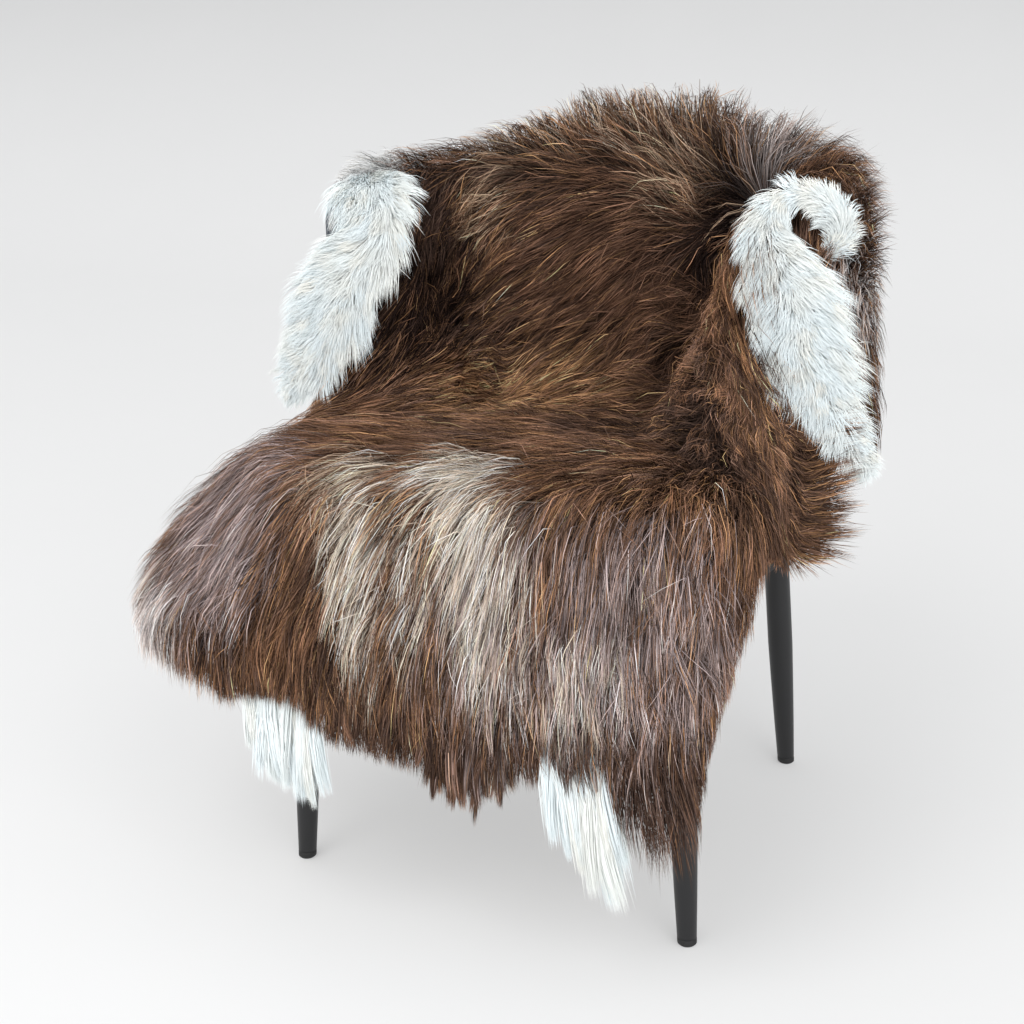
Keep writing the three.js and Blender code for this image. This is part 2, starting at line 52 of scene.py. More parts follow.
FEET = {
    "front_left": (-225, -210, 0.05, 0.03),
    "front_right": (225, -210, -0.05, 0.03),
    "rear_right": (210, 210, -0.05, -0.09),
    "rear_left": (-210, 210, 0.05, -0.09),
}
left_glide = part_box("glide_front_left")
right_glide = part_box("glide_front_right")
# The chair's own middle on the floor. All sizes here are in millimetres from it, front to -Y.
CHAIR = np.array([(left_glide[0].x + right_glide[1].x) / 2, left_glide[0].y + 0.22014, 0.0])


def in_place(points):
    return np.asarray(points, float) * 0.001 + CHAIR


def loft(rings):
    """A closed body through level rings of points, in millimetres."""
    body = bmesh.new()
    loops = []
    for ring in rings:
        corners = [body.verts.new(point) for point in in_place(ring)]
        pairs = zip(corners, corners[1:] + corners[:1])
        loops.append([body.edges.new(pair) for pair in pairs])
    for lower, upper in zip(loops, loops[1:]):
        bmesh.ops.bridge_loops(body, edges=lower + upper)
    for end in (loops[0], loops[-1]):
        bmesh.ops.edgeloop_fill(body, edges=end)
    bmesh.ops.recalc_face_normals(body, faces=body.faces)
    return body


def piece(name, body, finish, slot, *nodes):
    """Turns a body into a piece of the object that stands for some of the model's nodes."""
    mesh = bpy.data.meshes.new(name)
    body.to_mesh(mesh)
    body.free()
    thing = bpy.data.objects.new(name, mesh)
    bpy.context.scene.collection.objects.link(thing)
    mesh.materials.append(finish)
    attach(thing, "root")
    if nodes:
        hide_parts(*nodes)
    return thing


def smooth(thing, angle=40):
    thing.data.shade_smooth()
    edges = bmesh.new()
    edges.from_mesh(thing.data)
    for edge in edges.edges:
        edge.smooth = edge.calc_face_angle(0) < math.radians(angle)
    edges.to_mesh(thing.data)
    edges.free()


class Value:
    """One output of a finish's nodes, which can be used in sums like a number."""

    def __init__(self, finish, socket):
        self.finish, self.socket = finish, socket

    def sum(self, operation, a, b=0.0):
        return self.finish.node("ShaderNodeMath", {"operation": operation}, {0: a, 1: b})

    def __add__(self, other):
        return self.sum("ADD", self, other)

    def __sub__(self, other):
        return self.sum("SUBTRACT", self, other)

    def __rsub__(self, other):
        return self.sum("SUBTRACT", other, self)

    def __mul__(self, other):
        return self.sum("MULTIPLY", self, other)

    __radd__, __rmul__ = __add__, __mul__

    def sine(self):
        return self.sum("SINE", self)


class Finish:
    """A material and its nodes."""

    def __init__(self, name):
        self.material = bpy.data.materials.new(name)
        self.material.use_nodes = True
        self.tree = self.material.node_tree
        self.tree.nodes.clear()

    def node(self, kind, settings, inputs, output=0):
        node = self.tree.nodes.new(kind)
        for key, value in settings.items():
            setattr(node, key, value)
        for key, value in inputs.items():
            if isinstance(value, Value):
                self.tree.links.new(value.socket, node.inputs[key])
            else:
                node.inputs[key].default_value = value
        return Value(self, node.outputs[output]) if node.outputs else node

    def place(self):
        return self.node("ShaderNodeTexCoord", {}, {}, "Object")

    def axes(self, vector):
        return [self.node("ShaderNodeSeparateXYZ", {}, {0: vector}, axis) for axis in "XYZ"]

    def noise(self, vector, scale, detail=3.0):
        return self.node(
            "ShaderNodeTexNoise", {}, {"Vector": vector, "Scale": scale, "Detail": detail}
        )

    def blend(self, factor, a, b, way="MIX"):
        settings = {"data_type": "RGBA", "blend_type": way}
        return self.node("ShaderNodeMix", settings, {0: factor, 6: a, 7: b}, 2)

    def surface(self, colour, roughness, height=None, depth=0.001, strength=0.5, **others):
        """Ends the nodes in a surface. height, if given, raises it by up to depth metres."""
        inputs = {"Base Color": colour, "Roughness": roughness}
        if height is not None:
            bump = {"Height": height, "Distance": depth, "Strength": strength}
            inputs["Normal"] = self.node("ShaderNodeBump", {}, bump, "Normal")
        if "gloss" in others:
            inputs["Specular IOR Level"] = others["gloss"]
        if "fuzz" in others:
            inputs["Sheen Weight"] = others["fuzz"]
        # A glow is painted light: the surface gives off a little light of its own.
        if "glow" in others:
            inputs |= {"Emission Color": others["glow"], "Emission Strength": 0.4}
        look = self.node("ShaderNodeBsdfPrincipled", {}, inputs, "BSDF")
        self.node("ShaderNodeOutputMaterial", {}, {"Surface": look})
        return self.material


def shade(red, green, blue):
    """A colour as it is seen, from 0 to 255, as the light it sends back."""
    seen = np.array([red, green, blue]) / 255
    light = np.where(seen <= 0.04045, seen / 12.92, ((seen + 0.055) / 1.055) ** 2.4)
    return (*light, 1.0)


coat = Finish("black_powder_coat")
grain = coat.noise(coat.place(), 900.0, 2.0)
cloud = coat.noise(coat.place(), 14.0)
powder_coat = coat.surface(
    colour=coat.blend(cloud, shade(17, 17, 19), shade(26, 26, 28)),
    roughness=0.34 + cloud * 0.16,
    height=grain,
    depth=0.0002,
    strength=0.25,
)


def leaning(foot, profile, sides=40):
    x, y, in_x, in_y = foot
    turn = np.arange(sides) * 2 * math.pi / sides
    return [
        np.stack(
            [
                x + in_x * z + radius * np.cos(turn),
                y + in_y * z + radius * np.sin(turn),
                np.full(sides, float(z)),
            ],
            -1,
        )
        for z, radius in profile
    ]


for corner, foot in FEET.items():
    tube = loft(leaning(foot, LEG_PROFILE + PLATE_PROFILE))
    smooth(piece(f"leg_{corner}_tube", tube, powder_coat, "leg_metal", f"leg_{corner}"))


# Glides: a turned plastic foot pressed into each tube's end, with a flat face on the floor
# and a shallow groove where it meets the metal.
GLIDE_PROFILE = [(0, 8), (0.6, 8.8), (2, 10.1), (6.8, 10.2), (7.4, 9.7), (8.2, 9.7), (9, 10.1)]
plastic = Finish("black_glide_plastic")
speck = plastic.noise(plastic.place(), 1600.0, 1.0)
glide_plastic = plastic.surface(
    colour=plastic.blend(speck, shade(18, 18, 19), shade(30, 30, 31)),
    roughness=0.5 + speck * 0.15,
    height=speck,
    depth=0.0001,
    strength=0.3,
)
for corner, foot in FEET.items():
    cap = loft(leaning(foot, GLIDE_PROFILE))
    smooth(piece(f"glide_{corner}_cap", cap, glide_plastic, "glide_plastic", f"glide_{corner}"))


# Seat board: plywood with a black stain, screwed under the padding. It carries the legs.
board = Finish("black_stained_plywood")
x, y, z = board.axes(board.place())
along_grain = board.node("ShaderNodeCombineXYZ", {}, {0: x * 6, 1: y * 60, 2: z * 400})
veins = board.noise(along_grain, 4.0, 5.0)
stained_board = board.surface(
    colour=board.blend(veins, shade(18, 17, 17), shade(40, 38, 37)),
    roughness=0.55 + veins * 0.2,
    height=veins,
    depth=0.0004,
    strength=0.4,
)
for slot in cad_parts["seat_base"].material_slots:
    slot.material = stained_board


# Seat: a foam cushion in dark blue-grey woven wool, glued on the board. Its sides are drawn in
# a little over the board, and a sewn seam runs round under its top edge.
WALL = {"half_width": 262, "depth": 208, "centre": 15, "power": 2.5, "thick": 44, "end": -2}
SEAT = {"top": 450, "bottom": 372, "front": -250, "half": 236, "corner": 62, "rear_inset": 25}
SEAT_LAYERS = [
    (372, 10), (373.5, 5), (378, 1.6), (390, 0.4), (410, 0), (427, 0.2), (431, 1.4), (432.2, 2.6),
    (433.4, 1.6), (437, 2.4), (442, 4.8), (446, 8.4), (449, 14), (450, 22),
]


def round_back(outside, count):
    """Plan points round the back from the left wing to the right, outside the wall's middle."""
    angle = np.linspace(-math.pi / 2, math.pi / 2, count + 1)
    power = 2 / WALL["power"]
    x = np.sign(np.sin(angle)) * np.abs(np.sin(angle)) ** power
    y = np.clip(np.cos(angle), 0, 1) ** power
    y[[0, -1]] = 0
    return np.stack(
        [(WALL["half_width"] + outside) * x, WALL["centre"] + (WALL["depth"] + outside) * y], -1
    )


def seat_ring(z, inset):
    radius = SEAT["corner"] - inset
    ring = []
    for side, start in ((-1, math.pi), (1, 1.5 * math.pi)):
        for angle in start + np.linspace(0, math.pi / 2, 14):
            ring.append(
                [
                    side * (SEAT["half"] - SEAT["corner"]) + radius * math.cos(angle),
                    SEAT["front"] + SEAT["corner"] + radius * math.sin(angle),
                ]
            )
    ring += round_back(-SEAT["rear_inset"] - inset, 56)[::-1].tolist()
    return [[x, y, z] for x, y in ring]


cloth = Finish("blue_grey_woven_wool")
x, y, z = cloth.axes(cloth.place())
warp = ((x + y) * 2600.0).sine()
weft = (z * 2600.0 + (x - y) * 900.0).sine()
fibre = cloth.noise(cloth.place(), 420.0, 4.0)
melange = cloth.noise(cloth.place(), 60.0, 2.0)
weave = (warp * weft) * 0.5 + 0.5
upholstery = cloth.surface(
    colour=cloth.blend(
        weave * 0.45 + fibre * 0.35 + melange * 0.2, shade(24, 28, 35), shade(74, 82, 94)
    ),
    roughness=0.82 + fibre * 0.12,
    height=weave * 0.7 + fibre * 0.5,
    depth=0.0006,
    strength=0.6,
    fuzz=0.25,
)
seat = loft([seat_ring(z, inset) for z, inset in SEAT_LAYERS])
seat_cushion = piece("seat_cushion", seat, upholstery, "upholstery", "seat_pad")
smooth(seat_cushion, 60)


# Back: a bent shell, padded inside and out and covered in the same cloth. It wraps round the
# seat from wing to wing, and its rim is lowest at the wings.
RIM = {"wing": 700, "back": 746}
# How far each ring at a wing's end is from it, and how much smaller it is all round.
WING_ROUNDING = [(0, 12), (0.6, 7), (2.4, 3.4), (6, 1.2), (11, 0.3), (15.5, 0)]
# Offset from the wall's middle, bevel and height. Where the wall is widest, heights from 0 up
# count from the seat's underside. The others count from the rim.
WIDEST = 20.5
WALL_PROFILE = [
    (-21, 0, 0), (21, 0, 0), (22, 3, 0), (22, 0, 60), (22, 0, 150), (22, 0, 230),
    (21.6, 0, -22), (20, 0, -12), (16, 0, -5), (10, 0, -1.2), (0, 0, 0), (-10, 0, -1.2),
    (-16, 0, -5), (-20, 0, -12), (-21.6, 0, -22), (-22, 0, 230), (-22, 0, 150), (-22, 0, 60),
    (-22, 3, 0),
]


def smoothstep(low, high, x):
    t = np.clip((np.asarray(x, float) - low) / (high - low), 0, 1)
    return t * t * (3 - 2 * t)


def mix(a, b, t):
    return a + (b - a) * t


def rim_height(x):
    return mix(RIM["back"], RIM["wing"], smoothstep(0, WALL["half_width"], np.abs(x)))


def wall_rings():
    wing = WALL["end"] + np.array([step for step, _ in WING_ROUNDING])
    left = np.stack([np.full(len(wing), -WALL["half_width"]), wing], -1)
    right = (left * [-1, 1])[::-1]
    middle = np.concatenate([left, round_back(0, 60)[1:-1], right])
    run = np.gradient(middle, axis=0)
    out = np.stack([-run[:, 1], run[:, 0]], -1) / np.linalg.norm(run, axis=1)[:, None]
    rings = []
    for k, (x, y) in enumerate(middle):
        _, inset = WING_ROUNDING[min(len(wing) - 1, k, len(middle) - 1 - k)]
        rim = float(rim_height(x)) - inset
        ring = []
        for offset, bevel, height in WALL_PROFILE:
            z = rim + height
            if height >= 0 and abs(offset) > WIDEST:
                z = SEAT["bottom"] + bevel + height
            away = np.sign(offset) * max(0.0, abs(offset) - inset)
            ring.append([x + out[k][0] * away, y + out[k][1] * away, z])
        rings.append(ring)
    return rings


back_wall = piece("back_wall", loft(wall_rings()), upholstery, "upholstery", "back_shell")
smooth(back_wall, 60)


# Skin: one tanned sheepskin, about 2 mm thick, suede side down. It hangs outside the back,
# lies over the rim, down the inside and over the seat, and falls over its front and left side.
FLAP = 285
SPINE_LENGTH = 1178
ACROSS, ALONG = 34, 50
# The shoulders that the skin bends over: radius, and slope after it.
SEAT_EDGE = {"radius": 34, "left": 1.15, "right": 3, "front": 4.6}
INNER_RIM = {"radius": 30, "slope": 3.2}
OUTER_RIM = {"radius": 22, "slope": 12}
WING_FRONT = {"radius": 30, "slope": 4.4}
OVER_SEAT, OVER_RIM = 0.6, 11
HOLLOW = 110
# How far along the spine from the neck's end, plan places of the left and right hem, and how
# far the right hem turns round the front of the wing.
SECTIONS = np.array(
    [
        (0, -85, 281.4, 95, 282.2, 0),
        (60, -140, 262.8, 150, 263.2, 0),
        (120, -225, 217, 238, 222, 0),
        (180, -284, 125, 322, 70, 0),
        (235, -297, 45, 324, -12, 0),
        (285, -260, 14, 264, 12, 0),
        (420, -236, -38, 238, -40, 44),
        (550, -250, -76, 252, -74, 44),
        (670, -288, -114, 264, -104, 20),
        (810, -322, -168, 268, -142, 4),
        (940, -356, -220, 270, -190, 0),
        (1060, -378, -264, 276, -240, 0),
        (1178, -342, -304, 266, -296, 0),
    ],
    float,
)


def shoulder(distance, radius, slope):
    """How far a line has fallen that leaves the level with a rounded shoulder."""
    return slope * (np.hypot(np.maximum(0, distance), radius) - radius)


def drape(x, y):
    """Height of the skin's suede side over a plan point."""
    side = np.abs(x) - (SEAT["half"] - SEAT["corner"])
    front = SEAT["front"] + SEAT["corner"] - y
    outside = np.hypot(np.maximum(0, side), np.maximum(0, front))
    front_share = (np.maximum(0, front) / np.maximum(outside, 1e-9)) ** 4
    distance = outside + np.minimum(0, np.maximum(side, front)) - SEAT["corner"]
    slope = np.where(x < 0, SEAT_EDGE["left"], SEAT_EDGE["right"])
    slope = mix(slope, SEAT_EDGE["front"], front_share)
    seat = SEAT["top"] + OVER_SEAT - shoulder(distance + 2, SEAT_EDGE["radius"], slope)
    across = np.abs(x) / WALL["half_width"]
    back = np.maximum(0, y - WALL["centre"]) / WALL["depth"]
    share = (across ** WALL["power"] + back ** WALL["power"]) ** (1 / WALL["power"])
    offset = (share - 1) * np.where(back > across, WALL["depth"], WALL["half_width"])
    wall = rim_height(x) + OVER_RIM - shoulder(-offset - 15, **INNER_RIM)
    wall = wall - shoulder(offset - 20, **OUTER_RIM) - shoulder(2 - y, **WING_FRONT)
    blend = np.clip(0.5 + 0.5 * (seat - wall) / HOLLOW, 0, 1)
    return wall + (seat - wall) * blend + HOLLOW * blend * (1 - blend)


def slopes(x, y):
    return (
        drape(x + 0.5, y) - drape(x - 0.5, y),
        drape(x, y + 0.5) - drape(x, y - 0.5),
    )


def section_at(distance, column):
    """A column of the sections' table, joined smoothly between its rows."""
    at, value = SECTIONS[:, 0], SECTIONS[:, column]
    last = len(at) - 1
    i = min(last - 1, max(0, int(np.searchsorted(at, distance, side="left")) - 1))
    before, after = max(0, i - 1), min(last, i + 2)
    span = at[i + 1] - at[i]
    t = min(1.0, max(0.0, (distance - at[i]) / span))
    slope_a = (value[i + 1] - value[before]) / (at[i + 1] - at[before]) * span
    slope_b = (value[after] - value[i]) / (at[after] - at[i]) * span
    return (
        (2 * t**3 - 3 * t**2 + 1) * value[i]
        + (t**3 - 2 * t**2 + t) * slope_a
        + (3 * t**2 - 2 * t**3) * value[i + 1]
        + (t**3 - t**2) * slope_b
    )


def along_path(x, y, distances):
    """Points on the drape over a plan curve, so far along it. Below 0 counts from its end."""
    path = np.stack([x, y, drape(x, y)], -1)
    way = np.concatenate([[0], np.cumsum(np.linalg.norm(np.diff(path, axis=0), axis=1))])
    if distances is None:
        distances = np.linspace(0, way[-1], ACROSS // 2 + 1)
    return np.stack([np.interp(distances, way, path[:, k]) for k in range(3)], -1)


def lay_skin():
    crest = WALL["centre"] + WALL["depth"]
    stations = np.linspace(0, SPINE_LENGTH, ALONG + 1)
    out = np.linspace(0, 60, 401)
    over = np.linspace(0, 600, 2001)
    flap = along_path(0 * out, crest + out, np.maximum(0, FLAP - stations))[:, 1]
    seat = along_path(0 * over, crest - over, np.maximum(0, stations - FLAP))[:, 1]
    spine = np.where(stations < FLAP, flap, seat)
    share = np.linspace(0, 1, 401)
    angle = share * math.pi / 2
    rows = []
    for distance, spine_y in zip(stations, spine):
        square = max(smoothstep(20, 160, spine_y), smoothstep(-200, -300, spine_y))
        power = mix(1, 2 / WALL["power"], square)
        arms = []
        for first in (1, 3):
            end_x, end_y = section_at(distance, first), section_at(distance, first + 1)
            turn = max(0, section_at(distance, 5)) if first == 3 else 0
            x = end_x * np.sin(angle) ** power + turn * smoothstep(0.88, 1, share)
            y = mix(spine_y, end_y, 1 - np.clip(np.cos(angle), 0, 1) ** power)
            arms.append(along_path(x, y, None))
        rows.append(np.concatenate([arms[0][::-1], arms[1][1:]]))
    return np.array(rows)


def settle(points):
    """Brings points back onto the drape along its own slope."""
    for _ in range(3):
        x, y, z = np.moveaxis(points, -1, 0)
        slope_x, slope_y = slopes(x, y)
        above = (z - drape(x, y)) / (1 + slope_x**2 + slope_y**2)
        points = points + np.stack([above * slope_x, above * slope_y, -above], -1)
    return points


def even_out(rows, passes, rim_passes):
    """Each point moves towards the middle of its neighbours; rim points stay on the rim."""
    for count in range(passes):
        middle = rows.copy()
        middle[1:-1, 1:-1] = (
            rows[:-2, 1:-1] + rows[2:, 1:-1] + rows[1:-1, :-2] + rows[1:-1, 2:]
        ) / 4
        if count < rim_passes:
            for edge in (0, -1):
                middle[edge, 1:-1] = (rows[edge, :-2] + rows[edge, 2:]) / 2
                middle[1:-1, edge] = (rows[:-2, edge] + rows[2:, edge]) / 2
        moved = settle(mix(rows, middle, 0.7))
        moved[[0, 0, -1, -1], [0, -1, 0, -1]] = rows[[0, 0, -1, -1], [0, -1, 0, -1]]
        if count >= rim_passes:
            for edge in (0, -1):
                moved[edge], moved[:, edge] = rows[edge], rows[:, edge]
        rows = moved
    return rows


def refine(rows, n):
    """n times as many rows and columns, on smooth curves through the given ones."""
    for axis in (0, 1):
        a = np.swapaxes(rows, 0, axis)
        a = np.concatenate([2 * a[:1] - a[1:2], a, 2 * a[-1:] - a[-2:-1]])
        p, q, r, s = a[:-3, None], a[1:-2, None], a[2:-1, None], a[3:, None]
        t = (np.arange(n) / n).reshape(1, n, *[1] * (a.ndim - 1))
        square, cube = 2 * p - 5 * q + 4 * r - s, 3 * q - p - 3 * r + s
        fine = 0.5 * (2 * q + (r - p) * t + square * t**2 + cube * t**3)
        fine = np.concatenate([fine.reshape(-1, *a.shape[1:]), a[-2:-1]])
        rows = np.swapaxes(fine, 0, axis)
    return rows


def unit(vectors):
    return vectors / np.maximum(np.linalg.norm(vectors, axis=-1, keepdims=True), 1e-9)


def facing(rows):
    """The ways in which the wool side faces, evened out so that they don't cross in hollows."""
    slope_x, slope_y = slopes(rows[..., 0], rows[..., 1])
    ways = unit(np.stack([-slope_x, -slope_y, np.ones_like(slope_x)], -1))
    for _ in range(5):
        wide = np.pad(ways, ((1, 1), (1, 1), (0, 0)), mode="edge")
        high, across = ways.shape[:2]
        ways = unit(sum(wide[j : j + high, i : i + across] for j in range(3) for i in range(3)))
    return ways


def sheet_body(rows, ways, thickness):
    """A thin closed sheet on a grid of points, its wool side the given thickness above them."""
    high, across = rows.shape[:2]
    body = bmesh.new()
    bmesh.ops.create_grid(body, x_segments=across - 1, y_segments=high - 1)
    body.verts.ensure_lookup_table()
    order = sorted(body.verts, key=lambda v: (round(v.co.y, 5), round(v.co.x, 5)))
    lower = in_place(rows).reshape(-1, 3)
    for vert, point in zip(order, lower):
        vert.co = point
    shell = bmesh.ops.extrude_face_region(body, geom=body.faces[:])["geom"]
    raised = {v for v in shell if isinstance(v, bmesh.types.BMVert)}
    upper = lower + ways.reshape(-1, 3) * thickness * 0.001
    tree = KDTree(len(lower))
    for k, point in enumerate(lower):
        tree.insert(point, k)
    tree.balance()
    for vert in raised:
        vert.co = upper[tree.find(vert.co)[1]]
    wool_side = [f for f in body.faces if all(v in raised for v in f.verts)]
    bmesh.ops.recalc_face_normals(body, faces=body.faces)
    for face in wool_side:
        face.material_index = 1
    return body


suede = Finish("cream_suede")
nap = suede.noise(suede.place(), 260.0, 5.0)
stain = suede.noise(suede.place(), 9.0, 3.0)
suede_side = suede.surface(
    colour=suede.blend(nap * 0.4 + stain * 0.6, shade(186, 160, 128), shade(228, 212, 186)),
    roughness=0.85 + nap * 0.1,
    height=nap,
    depth=0.0008,
    strength=0.5,
)
# The wool side is the wool's brown, made much darker as painted shade deep in the pile.
ground = Finish("brown_wool_roots_painted_shade")
root_tone = ground.noise(ground.place(), 90.0, 4.0)
shaded_wool_ground = ground.surface(
    colour=ground.blend(root_tone, shade(24, 16, 13), shade(58, 40, 32)),
    roughness=0.9,
    height=root_tone,
    depth=0.002,
    strength=0.8,
)

leather = even_out(lay_skin(), 70, 10)
leather_ways = facing(leather)
hide_skin = piece(
    "hide_skin",
    sheet_body(refine(leather, 2), unit(refine(leather_ways, 2)), 2.2),
    suede_side,
    "wool",
    "hide",
)
hide_skin.data.materials.append(shaded_wool_ground)
hide_skin.data.shade_smooth()


# Wool: straight hair, mostly 60 to 110 mm long, in pointed locks. It grows out of the skin and
# lies over it, stands up where the skin bends over the rim, and hangs free past the hem.
LOCK_SPACING = 8.5
PALETTE = {
    "chocolate": (97, 76, 64),
    "red": (116, 85, 64),
    "chestnut": (88, 66, 54),
    "umber": (70, 56, 50),
    "black": (34, 26, 24),
    "amber": (176, 136, 100),
    "blond": (188, 167, 148),
    "straw": (166, 143, 122),
    "ash": (140, 130, 127),
    "cream": (231, 216, 200),
    "lilac": (152, 139, 139),
    "pale": (208, 199, 198),
    "white": (240, 243, 243),
}
# Soft patches of colour: place along and across the skin, half length and half width in
# millimetres, how far the long way is turned from the spine, and how many locks take it.
PATCHES = [
    ("chestnut middle of the back", 0.40, 0.02, 170, 120, 0, "chestnut", 0.7),
    ("dark left of the back", 0.45, -0.58, 160, 90, 0, "black", 0.8),
    ("dark left wing", 0.34, -0.66, 90, 60, 0, "umber", 0.8),
    # Painted shade where the wall meets the seat.
    ("painted shade in the crease", 0.57, 0.25, 50, 190, 0, "umber", 0.6),
    # Painted shade in a valley of the pile on the right.
    ("painted shade in the valley on the right", 0.40, 0.30, 60, 30, 30, "black", 0.6),
    ("dark right of the seat", 0.60, 0.72, 90, 100, 0, "umber", 0.6),
    ("amber lower back", 0.53, -0.20, 60, 110, 40, "amber", 0.4),
    ("streak on the left crest", 0.325, -0.40, 74, 34, 10, "straw", 0.42),
    ("curls on the crest", 0.300, 0.11, 40, 44, 0, "straw", 0.42),
    # Painted shade in the parting of the wool.
    ("painted shade in the parting", 0.335, 0.27, 76, 28, 0, "black", 0.85),
    ("grey tuft on the crest", 0.265, 0.42, 56, 66, 0, "ash", 0.8),
    ("white by the left shank", 0.26, -1.0, 76, 86, 0, "white", 1.0),
    ("strip by the right wing", 0.315, 0.36, 40, 16, 0, "straw", 0.7),
    ("pale tips on the crest", 0.255, -0.15, 34, 150, 0, "blond", 0.25),
    ("outside of the right wing", 0.17, 0.80, 110, 80, 0, "lilac", 0.15),
    ("patch behind the right wing", 0.235, 0.98, 40, 26, 0, "pale", 0.5),
    ("upper cream streak", 0.865, -0.25, 125, 28, 12, "cream", 0.7),
    ("upper cream head", 0.80, -0.36, 36, 36, 50, "blond", 0.7),
    ("lower cream streak", 0.855, 0.10, 135, 32, 22, "cream", 1.0),
    ("lower cream middle", 0.89, 0.22, 100, 50, 20, "cream", 0.65),
    ("lower cream head", 0.765, -0.06, 50, 50, 60, "cream", 0.85),
    ("lower cream end", 0.945, 0.55, 46, 50, 30, "cream", 0.75),
    ("grey left flank", 0.84, -0.68, 130, 80, 0, "lilac", 0.75),
    ("grey among the streaks", 0.92, 0.3, 120, 160, 0, "lilac", 0.25),
    ("pale left corner", 0.93, -0.98, 80, 64, 0, "pale", 1.0),
    ("grey right flank", 0.91, 0.74, 130, 120, 0, "lilac", 0.55),
    ("blond between the streaks", 0.86, -0.08, 100, 30, 14, "cream", 0.4),
    ("brown hem", 1.02, 0.0, 50, 420, 0, "umber", 0.65),
    ("dark right hem", 1.0, 0.85, 50, 90, 0, "umber", 0.55),
]
# Which way the wool lies: place along and across the skin, and its turn from the spine's way
# towards the right, in degrees. It parts over the crest, sweeps to the left down the back and
# over the rear of the seat, and then falls straight.
FLOW = [
    (0.00, -0.8, 180), (0.00, 0.0, 180), (0.00, 0.8, 180), (0.10, -0.8, 185), (0.10, 0.0, 180),
    (0.10, 0.8, 165), (0.18, -0.7, 185), (0.18, 0.0, 180), (0.18, 0.6, 170),
    (0.14, 0.95, 130), (0.18, 0.9, 110), (0.21, 0.9, 100),
    (0.25, -0.62, -110), (0.25, -0.17, -150), (0.24, 0.16, 180), (0.24, 0.37, 170),
    (0.24, 0.60, 140), (0.24, 0.85, 120), (0.27, 0.99, 60), (0.28, 0.25, -80),
    (0.30, -0.02, -60), (0.32, -0.40, -15), (0.35, -0.18, -45), (0.33, -0.65, -5),
    (0.42, -0.10, -50), (0.46, -0.23, -45), (0.40, -0.60, 0), (0.47, -0.58, -5), (0.52, -0.65, 0),
    (0.42, 0.12, -35), (0.45, 0.23, -50), (0.35, 0.60, 15), (0.43, 0.60, 40),
    (0.54, -0.29, -45), (0.53, -0.04, -55), (0.55, 0.45, -40), (0.50, 0.72, 0),
    (0.51, 0.95, 120), (0.46, 0.98, 120), (0.56, 0.98, 115), (0.62, 0.98, 70), (0.68, 0.98, 30),
    (0.60, -0.47, -65), (0.62, -0.80, -90), (0.62, 0.00, -65),
    (0.63, 0.40, -35), (0.62, 0.80, 15), (0.68, -0.50, -65), (0.69, -0.10, -60),
    (0.70, 0.25, -30), (0.70, 0.60, 0), (0.76, -0.65, -50), (0.83, -0.77, -50),
    (0.89, -0.93, -20), (0.97, -0.98, -5), (0.80, -0.38, -28), (0.86, -0.24, -15),
    (0.93, -0.20, 0), (0.77, -0.10, -40), (0.83, 0.04, -20), (0.88, 0.12, 4),
    (0.96, 0.20, 6), (0.75, 0.18, -20), (0.84, 0.30, 2), (0.89, 0.43, 10),
    (0.76, 0.45, 4), (0.84, 0.62, 12), (0.77, 0.75, 12), (0.88, 0.82, 18),
    (0.86, 0.97, 28), (0.96, -0.65, 2), (0.97, 0.61, 12), (1.00, 0.90, 14),
]
# Where the wool is ruffled: place along and across, half length and half width in
# millimetres, and how much.
RUFFLES = [
    (0.44, 0.42, 110, 100, 1.5),
    (0.52, 0.68, 110, 100, 1.1),
    (0.31, 0.33, 70, 60, 0.9),
    (0.33, -0.40, 80, 60, 0.6),
    (0.48, -0.60, 100, 60, 0.4),
]
# How far the wool hangs past the front hem, from the left corner to the right, and past the
# left and the right hem, from the neck to the tail.
FRONT_REACH = [
    (-1, -14), (-0.9, -8), (-0.8, 2), (-0.7, 20), (-0.64, 22), (-0.58, 6), (-0.4, 6),
    (-0.34, 34), (0, 46), (0.1, 72), (0.18, 72), (0.26, 44), (0.42, 42), (0.5, 60), (0.6, 92),
    (0.7, 126), (0.84, 146), (0.93, 124), (1, 66),
]
LEFT_REACH = [(0, 26), (0.8, 26), (0.92, 8), (1, -6)]
RIGHT_REACH = [
    (0, 26), (0.02, 70), (0.18, 80), (0.22, 90), (0.25, 70), (0.3, 30), (0.36, 40), (0.42, 84),
    (0.53, 84), (0.58, 34), (0.64, 12),
]
NECK_REACH = 30
# How soon hair past a hem turns downwards, from the neck to the tail: 0 never, 1 at once.
SAG = [(0, 0.6), (0.4, 0.5), (0.46, 0.14), (0.62, 0.24), (0.9, 0.6), (1, 0.85)]
OUTSIDE_SAG = 0.9
# How far the wool stands up along the bend over the rim, from the left hem to the right.
STAND = [(-0.5, 0.15), (-0.2, 0.4), (0.1, 0.65), (0.2, 0.95), (0.7, 1), (0.85, 0.8), (1, 0.5)]
# The pile's height in millimetres, and what the crest and its right shoulder add to it.
PILE = {"hem": 15, "back": 34, "seat": 40, "crest": 16, "shoulder": 16}
LOCK_LENGTH = (72, 104)
SHORTEST_HAIR = 12
STRAY_HAIRS = 0.08
# The lowest and highest place that a hair reaches.
HAIR_ROOM = (4, 834)
# Painted light and shade on the brown, from the neck to the tail: darker on the back and lighter
# on the seat. Painted shade at a hair's root, and a lighter tip that is partly painted highlight.
BROWN_PAINTED_LIGHT_AND_SHADE = [
    (0, 0.9), (0.2, 0.9), (0.28, 1.1), (0.36, 1.05), (0.42, 0.84), (0.51, 1.45), (0.57, 1.65),
    (0.68, 1.65), (0.85, 1.35), (1, 1.0),
]
ROOT_LIGHT_IN_PAINTED_SHADE, TIP_LIGHT_AND_PAINTED_HIGHLIGHT = 0.22, np.array([1.4, 1.28, 1.16])


